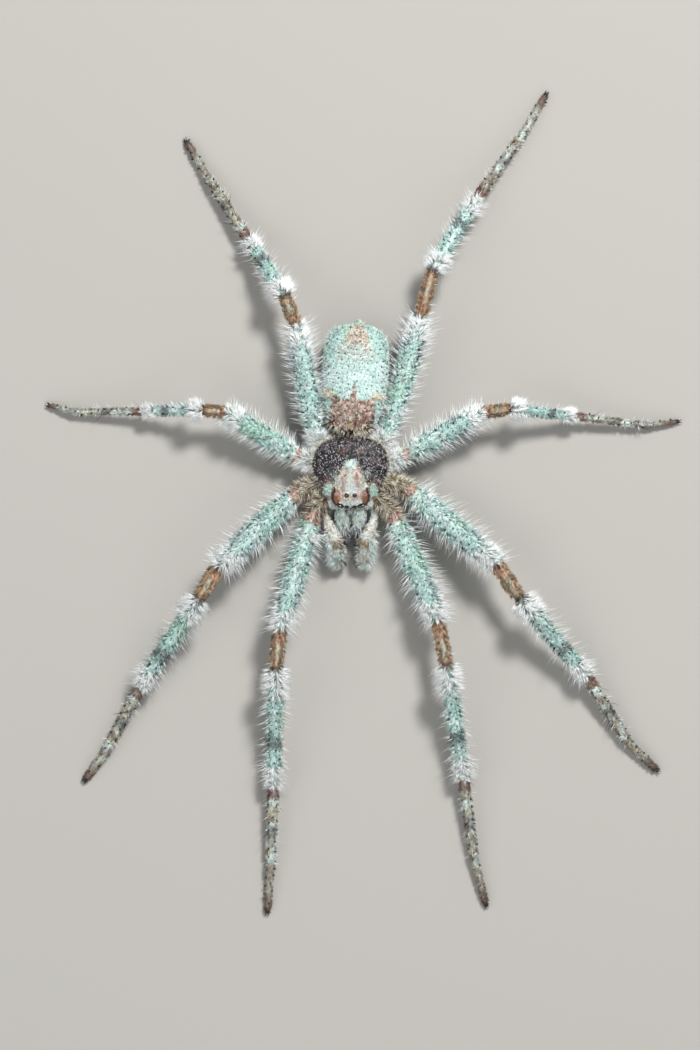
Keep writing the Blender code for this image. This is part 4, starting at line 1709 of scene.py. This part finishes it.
        roots = self.scatter("abdomen", lambda roots: smooth(1.0, 0.3, roots.place.along)
                             * smooth(-0.2, 0.3, roots.normals[:, 2])
                             * smooth(0.1, 0.4, np.abs(roots.place.side)), 110)
        lie = FORWARD + 0.4 * roots.normals + 0.45 * roots.place.side[:, None] * (
            roots.place.across)
        tint = self.speckled(CREAM, DARK, 110, 0.2)
        self.grow(coat, "abdomen", roots, lie, HAIR["abdomen front"], tint)
        for sign in (1.0, -1.0):
            roots = self.scatter("abdomen", lambda roots: smooth(0.55, 0.1, np.hypot(
                (roots.place.side * sign - 2.25) / 1.2, roots.place.along - 3.4)), 50)
            lie = roots.normals + 0.5 * roots.place.run
            self.grow(coat, "abdomen", roots, lie, HAIR["shoulder"], CREAM)
        roots = self.scatter("spinnerets", None, 120)
        self.grow(coat, "spinnerets", roots, roots.place.run, HAIR["spinneret"])
        return coat.finish(self.material)

    def face_free(self, roots: Roots) -> Array:
        """Say where the face may carry hair, off its swellings and clear of the eyes.

        Args:
            roots: places on the head part.

        Returns:
            A share for each place, 0 where the skin is bald.
        """
        bald = self.paint.lobes(roots.points) + self.paint.eye_rims(roots.points, 0.07)
        for ahead in (0.12, 0.24):
            bald = bald + self.paint.eye_rims(roots.points + ahead * FORWARD, 0.05, 3.0)
        return np.clip(1.0 - bald, 0.0, 1.0)

    def carapace(self) -> bpy.types.Object:
        """Grow the very short coat of the head part, speckled dark and pale.

        Returns:
            The finished coat piece.
        """
        coat = Coat("coat_carapace", ["thorax", "head"], self.rng)
        origin = self.skin.skeleton.origin
        for name, count in (("thorax", 3600), ("head", 2300)):
            roots = self.scatter(name, self.face_free, count)
            own = roots.points - origin
            lie = np.stack((-own[:, 0] * 0.15, -np.ones(count), np.zeros(count)), axis=-1)
            lie = lie + 0.35 * roots.normals
            pale = 1.0 * (self.rng.random(count) < self.paint.pale_head(roots.points, 0.95))
            tint = self.paint.carapace(roots.points, pale)
            dark = (1.0 - pale) * smooth(-1.9, -0.9, own[:, 1])
            draw = self.rng.random(count)
            share = 0.22 + 0.32 * smooth(0.3, 0.7, cloud(roots.points, 0.7, 96))
            share = share * smooth(0.25, 0.9, np.hypot(own[:, 0] * 0.7, own[:, 1] - 1.7))
            tint = mix(tint, PITCH, 0.9 * dark * (draw < 0.50))
            tint = mix(tint, SPECKLE, 0.95 * dark * (draw > 1.0 - share))
            tint = mix(tint, OLIVE, 0.6 * pale * (draw < 0.18))
            tint = mix(tint, WHITE, 0.6 * pale * (draw > 0.82))
            self.grow(coat, name, roots, lie, HAIR["carapace scale"], tint)
        self.face_tufts(coat)
        return coat.finish(self.material)

    def face_tufts(self, coat: Coat) -> None:
        """Grow the pale band between the eye rows, the brow hairs and the cheek tufts.

        Args:
            coat: the head part's coat piece.
        """
        origin = self.skin.skeleton.origin

        def brow(roots: Roots) -> Array:
            """Keep to the band between the eye rows."""
            own = roots.points - origin
            return self.face_free(roots) * band(own[:, 1], -3.16, -2.80, 0.06) * smooth(
                1.25, 1.0, np.abs(own[:, 0]))

        roots = self.scatter("head", brow, 130)
        own = roots.points - origin
        lie = np.stack((-own[:, 0] * 0.3, -np.ones(130), -0.3 * np.ones(130)), axis=-1)
        tint = self.speckled(WHITE, GREY_GREEN, 130, 0.3)
        self.grow(coat, "head", roots, lie + 0.5 * roots.normals, HAIR["brow"], tint)

        def clypeus(roots: Roots) -> Array:
            """Keep to the face below the front eyes."""
            own = roots.points - origin
            return self.face_free(roots) * smooth(-3.40, -3.50, own[:, 1]) * band(
                own[:, 2], 2.7, 3.35, 0.08)

        roots = self.scatter("head", clypeus, 150)
        tint = self.speckled(MINT_PALE, DARK, 150, 0.4)
        lie = FORWARD + 0.4 * roots.normals - 0.3 * UP
        self.grow(coat, "head", roots, lie, HAIR["clypeus"], tint)

        def cheek(roots: Roots) -> Array:
            """Keep to the two patches on each cheek.

            Args:
                roots: places on the limb.

            Returns:
                How dense the tufts stand at each.
            """
            own = roots.points - origin
            wide = np.abs(own[:, 0])
            low = smooth(1.1, 0.4, oval(wide, own[:, 1], REAR_CHEEK, (0.44, 0.62)))
            high = smooth(1.1, 0.4, oval(wide, own[:, 1], (1.80, -3.35), (0.44, 0.58)))
            return (low + 1.4 * high) * smooth(-0.2, 0.2, roots.normals[:, 2])

        roots = self.scatter("thorax", cheek, 200)
        tint = self.speckled(MINT_PALE, MINT_GREEN, 200, 0.4)
        # Tufts in front are whitened: partly their own pale colour, partly painted light that
        # lifts the shade on these forward-facing hairs
        tint = mix(tint, WHITE, 0.85 * (roots.points[:, 1] - origin[1] < -2.7))
        lie = 0.8 * roots.normals + FORWARD
        self.grow(coat, "thorax", roots, lie, HAIR["cheek"], tint)

        def rim(roots: Roots) -> Array:
            """Keep to the steep edge of the thorax."""
            return smooth(0.75, 0.2, np.abs(roots.normals[:, 2])) * smooth(
                -2.0, -1.0, (roots.points - origin)[:, 1])

        roots = self.scatter("thorax", rim, 240)
        lie = roots.normals + 0.3 * UP
        self.grow(coat, "thorax", roots, lie, HAIR["thorax rim"], CREAM)

    def palp(self, side: str) -> bpy.types.Object:
        """Grow the coat of one palp, with the long pale hairs on its outer side.

        Args:
            side: left or right.

        Returns:
            The finished coat piece.
        """
        name = f"palp_{side}"
        mirror = 1.0 if side == "left" else -1.0
        coat = Coat(f"coat_{name}", [name], self.rng)
        size = self.skin.skeleton.limbs[name].length
        roots = self.scatter(name, None, 900)
        share = roots.place.along / size
        lie = roots.place.run + 0.5 * roots.normals
        self.grow(coat, name, roots, lie, HAIR["palp scale"], length=0.26 + 0.14 * share)
        roots = self.spaced(name, None, 260, 0.42)
        self.grow(coat, name, roots, roots.normals + roots.place.run, HAIR["palp dot"], DOT)

        def outer(roots: Roots) -> Array:
            """Keep to the outer side, towards the tip."""
            return smooth(0.2, 0.8, roots.normals[:, 0] * mirror) * smooth(
                0.3, 0.6, roots.place.along / size)

        def inner(roots: Roots) -> Array:
            """Keep to the inner side, towards the tip."""
            return smooth(0.2, 0.8, -roots.normals[:, 0] * mirror) * smooth(
                0.5, 0.7, roots.place.along / size)

        for rule, count, length, tint in ((outer, 120, 0.95, WHITE), (outer, 60, 1.05, MINT),
                                          (inner, 80, 0.55, WHITE), (inner, 70, 0.65, DARK)):
            roots = self.scatter(name, rule, count)
            sway = self.rng.uniform(0.3, 1.2, (count, 1))
            lie = roots.normals + FORWARD * sway + 0.15 * UP
            self.grow(coat, name, roots, lie, HAIR["palp side"], tint, length=length)
        return coat.finish(self.material)

    def jaw(self, side: str) -> bpy.types.Object:
        """Grow the coat of one chelicera, with bristles towards its tip.

        Args:
            side: left or right.

        Returns:
            The finished coat piece.
        """
        name = f"chelicera_{side}"
        coat = Coat(f"coat_{name}", [name], self.rng)
        roots = self.scatter(name, None, 600)
        lie = roots.place.run + 0.35 * roots.normals
        draw = self.rng.random(600)
        tint = self.paint.jaw(roots.points, roots.place)
        tint = mix(tint, WHITE, 0.8 * (draw < 0.22))
        tint = mix(tint, DOT, 0.8 * (draw > 0.86))
        self.grow(coat, name, roots, lie, HAIR["jaw scale"], tint)
        length = self.skin.skeleton.limbs[name].length
        roots = self.scatter(name, lambda roots: smooth(0.3, 0.9, roots.place.along / length)
                             * smooth(-0.4, 0.3, roots.normals[:, 2]), 120)
        tint = self.speckled(DARK, WHITE, 120, 0.45)
        self.grow(coat, name, roots, roots.place.run + 0.5 * roots.normals, HAIR["jaw bristle"],
                  tint)
        return coat.finish(self.material)

    def sternum(self) -> bpy.types.Object:
        """Grow the thin coat of the sternum.

        Returns:
            The finished coat piece.
        """
        coat = Coat("coat_sternum", ["sternum"], self.rng)
        roots = self.scatter("sternum", None, 500)
        self.grow(coat, "sternum", roots, -FORWARD + 0.3 * roots.normals, HAIR["sternum"])
        return coat.finish(self.material)


@dataclass(frozen=True)
class Finish:
    """A Principled finish whose colour comes from the markings."""

    name: str
    roughness: float
    relief: float
    relief_size: float
    relief_depth: float
    sheen: float

    def make(self) -> bpy.types.Material:
        """Build the material.

        Returns:
            The material, named for the finish.
        """
        material = bpy.data.materials.new(self.name)
        material.use_nodes = True
        nodes, links = material.node_tree.nodes, material.node_tree.links
        shader = nodes["Principled BSDF"]
        shader.inputs["Specular IOR Level"].default_value = self.sheen
        tint = nodes.new("ShaderNodeAttribute")
        tint.attribute_name = "tint"
        grain = nodes.new("ShaderNodeGroup")
        grain.node_tree = grain_group()
        grain.inputs["Size"].default_value = self.relief_size
        links.new(tint.outputs["Color"], grain.inputs["Tint"])
        links.new(tint.outputs["Alpha"], grain.inputs["Gloss"])
        grain.inputs["Matt"].default_value = self.roughness
        links.new(grain.outputs["Colour"], shader.inputs["Base Color"])
        links.new(grain.outputs["Roughness"], shader.inputs["Roughness"])
        bump = nodes.new("ShaderNodeBump")
        bump.inputs["Strength"].default_value = self.relief
        bump.inputs["Distance"].default_value = self.relief_depth * MM
        links.new(grain.outputs["Height"], bump.inputs["Height"])
        links.new(bump.outputs["Normal"], shader.inputs["Normal"])
        return material


def grain_group() -> bpy.types.NodeTree:
    """Build, once, the fine grain that skin and coat share.

    Returns:
        The node group.
    """
    name = "fine_grain"
    if name in bpy.data.node_groups:
        return bpy.data.node_groups[name]
    group = bpy.data.node_groups.new(name, "ShaderNodeTree")
    for socket, way, kind in (("Tint", "INPUT", "Color"), ("Size", "INPUT", "Float"),
                              ("Gloss", "INPUT", "Float"), ("Matt", "INPUT", "Float"),
                              ("Colour", "OUTPUT", "Color"), ("Roughness", "OUTPUT", "Float"),
                              ("Height", "OUTPUT", "Float")):
        group.interface.new_socket(socket, in_out=way, socket_type=f"NodeSocket{kind}")
    nodes, links = group.nodes, group.links
    given, out = nodes.new("NodeGroupInput"), nodes.new("NodeGroupOutput")
    place = nodes.new("ShaderNodeTexCoord")
    noise = nodes.new("ShaderNodeTexNoise")
    noise.inputs["Detail"].default_value = 3.0
    links.new(place.outputs["Object"], noise.inputs["Vector"])
    links.new(given.outputs["Size"], noise.inputs["Scale"])
    spread = nodes.new("ShaderNodeMapRange")
    for socket, value in (("From Min", 0.3), ("From Max", 0.7), ("To Min", 0.72),
                          ("To Max", 1.12)):
        spread.inputs[socket].default_value = value
    links.new(noise.outputs["Fac"], spread.inputs["Value"])
    shade = nodes.new("ShaderNodeVectorMath")
    shade.operation = "SCALE"
    links.new(given.outputs["Tint"], shade.inputs[0])
    links.new(spread.outputs["Result"], shade.inputs["Scale"])
    links.new(shade.outputs["Vector"], out.inputs["Colour"])
    links.new(noise.outputs["Fac"], out.inputs["Height"])
    polish = nodes.new("ShaderNodeMapRange")
    polish.inputs["To Max"].default_value = 0.16
    links.new(given.outputs["Gloss"], polish.inputs["Value"])
    links.new(given.outputs["Matt"], polish.inputs["To Min"])
    links.new(polish.outputs["Result"], out.inputs["Roughness"])
    return group


@dataclass(frozen=True)
class PlainFinish:
    """A glossy finish of one colour, for eyes, fangs and claws."""

    name: str
    colour: tuple[int, int, int]
    roughness: float
    clear_coat: float

    def make(self) -> bpy.types.Material:
        """Build the material, with a faint mottling in its colour.

        Returns:
            The material, named for the finish.
        """
        material = bpy.data.materials.new(self.name)
        material.use_nodes = True
        nodes, links = material.node_tree.nodes, material.node_tree.links
        shader = nodes["Principled BSDF"]
        shader.inputs["Roughness"].default_value = self.roughness
        shader.inputs["Coat Weight"].default_value = self.clear_coat
        shader.inputs["Coat Roughness"].default_value = 0.03
        grain = nodes.new("ShaderNodeGroup")
        grain.node_tree = grain_group()
        grain.inputs["Size"].default_value = 9000.0
        grain.inputs["Tint"].default_value = (*linear(*self.colour), 1.0)
        links.new(grain.outputs["Colour"], shader.inputs["Base Color"])
        return material


@dataclass
class HardParts:
    """Eyes, fangs and claws: the glossy pieces that stay apart from the skin."""

    skeleton: Skeleton

    def eyes(self, material: bpy.types.Material) -> None:
        """Set the eight eyes.

        Args:
            material: their finish.
        """
        for eye in EYES:
            for side, mirror in (("left", 1.0), ("right", -1.0)):
                bm = bmesh.new()
                centre = self.skeleton.origin + (eye.across * mirror, eye.back, eye.height)
                turn = Matrix.Rotation(math.radians(eye.turn * mirror), 4, "Z")
                size = Matrix.Diagonal((*eye.sizes, 1.0))
                bmesh.ops.create_uvsphere(bm, u_segments=32, v_segments=18, radius=1.0,
                                          matrix=Matrix.Translation(centre) @ turn @ size)
                name = f"{eye.node}_{side}"
                self.place(bm, f"{name}_ball", material, "eye_black", name)

    def fangs(self, material: bpy.types.Material) -> None:
        """Fold a fang across the tip of each jaw.

        Args:
            material: their finish.
        """
        for side, mirror in (("left", 1.0), ("right", -1.0)):
            low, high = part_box(f"fang_{side}")
            outer = (high.x if mirror > 0 else low.x) / MM - 0.12 * mirror
            inner = (low.x if mirror > 0 else high.x) / MM + 0.04 * mirror
            turns = np.linspace(0.0, 1.0, 7)
            joints = np.stack((outer + (inner - outer) * turns,
                               high.y / MM - 0.12 - 0.28 * np.sin(turns * math.pi * 0.6),
                               high.z / MM - 0.12 - 0.22 * turns), axis=-1)
            bm = bmesh.new()
            size = float(np.linalg.norm(np.diff(joints, axis=0), axis=1).sum())
            Limb(joints, np.array(((0.0, 0.16, 0.16), (0.5 * size, 0.12, 0.12),
                                   (size, 0.03, 0.03))),
                 round_off=0.05, ring_step=0.06, sides=16).add_to(bm)
            self.place(bm, f"fang_{side}_curve", material, "fang_black", f"fang_{side}")

    def claws(self, material: bpy.types.Material) -> None:
        """Give each foot its pair of small curved claws.

        Args:
            material: their finish.
        """
        bm = bmesh.new()
        for name, limb in self.skeleton.limbs.items():
            if not name.startswith("leg"):
                continue
            tip, run = limb.joints[-1], limb.runs[-1]
            flat = unit(run * (1.0, 1.0, 0.0))
            beside = np.cross(flat, UP)
            for sign in (1.0, -1.0):
                turns = np.linspace(0.0, 1.0, 6)[:, None]
                joints = (tip - flat * 0.10 + beside * (0.09 * sign)
                          + flat * 0.34 * np.sin(turns * 1.5)
                          + beside * (0.08 * sign) * turns
                          + UP * (0.12 * np.sin(turns * 2.2) - 0.30 * turns ** 2))
                joints[:, 2] = np.maximum(joints[:, 2], 0.03)
                size = float(np.linalg.norm(np.diff(joints, axis=0), axis=1).sum())
                Limb(joints, np.array(((0.0, 0.045, 0.05), (size, 0.012, 0.012))),
                     round_off=0.02, ring_step=0.07, sides=10).add_to(bm)
        self.place(bm, "claws", material, "fang_black")

    def place(self, bm: bmesh.types.BMesh, name: str, material: bpy.types.Material,
              slot: str, node: str | None = None) -> None:
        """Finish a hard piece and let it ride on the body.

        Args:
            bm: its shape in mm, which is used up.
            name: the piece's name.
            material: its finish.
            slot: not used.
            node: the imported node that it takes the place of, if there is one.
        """
        bmesh.ops.recalc_face_normals(bm, faces=bm.faces[:])
        bmesh.ops.scale(bm, vec=(MM, MM, MM), verts=bm.verts[:])
        mesh = bpy.data.meshes.new(name)
        bm.to_mesh(mesh)
        bm.free()
        mesh.shade_smooth()
        mesh.materials.append(material)
        thing = put_in_scene(name, mesh)
        dress(thing)
        if node:
            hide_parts(node)
        LOG.info("%s placed", name)


@dataclass(frozen=True)
class Studio:
    """The pale floor, the soft lights and the camera that looks straight down.

    The lights hold name, place, size and power, in metres and watts.
    """

    view_centre: tuple[float, float] = (-0.06, -5.14)
    view_height_mm: float = 98.2
    lens: float = 200.0
    sensor: float = 36.0
    focus_z: float = 2.5
    floor_colour: tuple[float, float, float, float] = (0.33, 0.315, 0.29, 1.0)
    sky_colour: tuple[float, float, float, float] = (0.9, 0.95, 1.0, 1.0)
    sky_strength: float = 0.40
    lights: tuple = (("key", (0.13, 0.26, 0.38), 0.10, 3.2),
                     ("fill", (-0.34, -0.10, 0.36), 0.40, 0.7),
                     ("front", (0.05, -0.42, 0.30), 0.40, 0.75))

    def build(self, skeleton: Skeleton) -> None:
        """Set the floor, the lights, the world and the camera.

        Args:
            skeleton: the limbs, for the place that the camera looks at.
        """
        self.floor()
        for light in self.lights:
            self.light(*light)
        world = bpy.data.worlds.new("studio")
        world.use_nodes = True
        sky = world.node_tree.nodes["Background"]
        sky.inputs["Color"].default_value = self.sky_colour
        sky.inputs["Strength"].default_value = self.sky_strength
        bpy.context.scene.world = world
        bpy.context.scene.view_settings.view_transform = "Standard"
        data = bpy.data.cameras.new("camera")
        data.lens, data.sensor_width = self.lens, self.sensor
        data.clip_start, data.clip_end = 0.01, 10.0
        camera = put_in_scene("camera", data)
        distance = self.view_height_mm * self.lens / self.sensor
        centre = skeleton.origin[:2] + np.array(self.view_centre)
        camera.location = Vector((*centre, self.focus_z + distance)) * MM
        bpy.context.scene.camera = camera

    def floor(self) -> None:
        """Lay the pale floor."""
        bm = bmesh.new()
        bmesh.ops.create_grid(bm, x_segments=4, y_segments=4, size=1.2)
        mesh = bpy.data.meshes.new("floor")
        bm.to_mesh(mesh)
        bm.free()
        material = bpy.data.materials.new("floor_card")
        material.use_nodes = True
        shader = material.node_tree.nodes["Principled BSDF"]
        shader.inputs["Base Color"].default_value = self.floor_colour
        shader.inputs["Roughness"].default_value = 0.9
        mesh.materials.append(material)
        put_in_scene("floor", mesh)

    def light(self, name: str, place: tuple[float, float, float], size: float,
              power: float) -> None:
        """Hang one soft light that faces the spider.

        Args:
            name: the light's name.
            place: where it hangs, in metres.
            size: how wide it is, in metres.
            power: how strong it is, in watts.
        """
        data = bpy.data.lights.new(name, "AREA")
        data.shape, data.size, data.energy = "DISK", size, power
        lamp = put_in_scene(name, data)
        lamp.location = place
        lamp.rotation_mode = "QUATERNION"
        lamp.rotation_quaternion = (-Vector(place)).to_track_quat("-Z", "Y")


def dress(thing: bpy.types.Object) -> None:
    """Let a finished piece ride on the body."""
    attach(thing, BODY)


def main() -> None:
    """Build the spider's skin, coat and hard parts, and the studio round it."""
    logging.basicConfig(level=logging.INFO, format="%(message)s")
    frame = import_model()
    skeleton = Skeleton()
    paint = Paint(skeleton)
    skin = Skin(skeleton, paint)
    skin.build()
    LOG.info("skin: %d triangles", len(skin.areas))
    skin.thing.data.materials.append(Finish("bare_skin", 0.5, 0.6, 9000.0, 0.03, 0.4).make())
    dress(skin.thing)
    flesh = [name for name in frame["nodes"] if not name.startswith(("eye_", "fang_"))]
    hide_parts(*flesh)

    groomer = Groomer(skin, paint, Finish("hair", 0.58, 0.2, 20000.0, 0.01, 0.2).make())
    for name in skeleton.limbs:
        if name.startswith("leg"):
            dress(groomer.leg(name))
    dress(groomer.abdomen())
    dress(groomer.carapace())
    for side in ("left", "right"):
        dress(groomer.palp(side))
        dress(groomer.jaw(side))
    dress(groomer.sternum())

    hard = HardParts(skeleton)
    hard.eyes(PlainFinish("eye_gloss", (12, 9, 9), 0.06, 1.0).make())
    dark = PlainFinish("fang_gloss", (34, 20, 16), 0.22, 0.6).make()
    hard.fangs(dark)
    hard.claws(dark)

    Studio().build(skeleton)


if __name__ == "__main__":
    main()
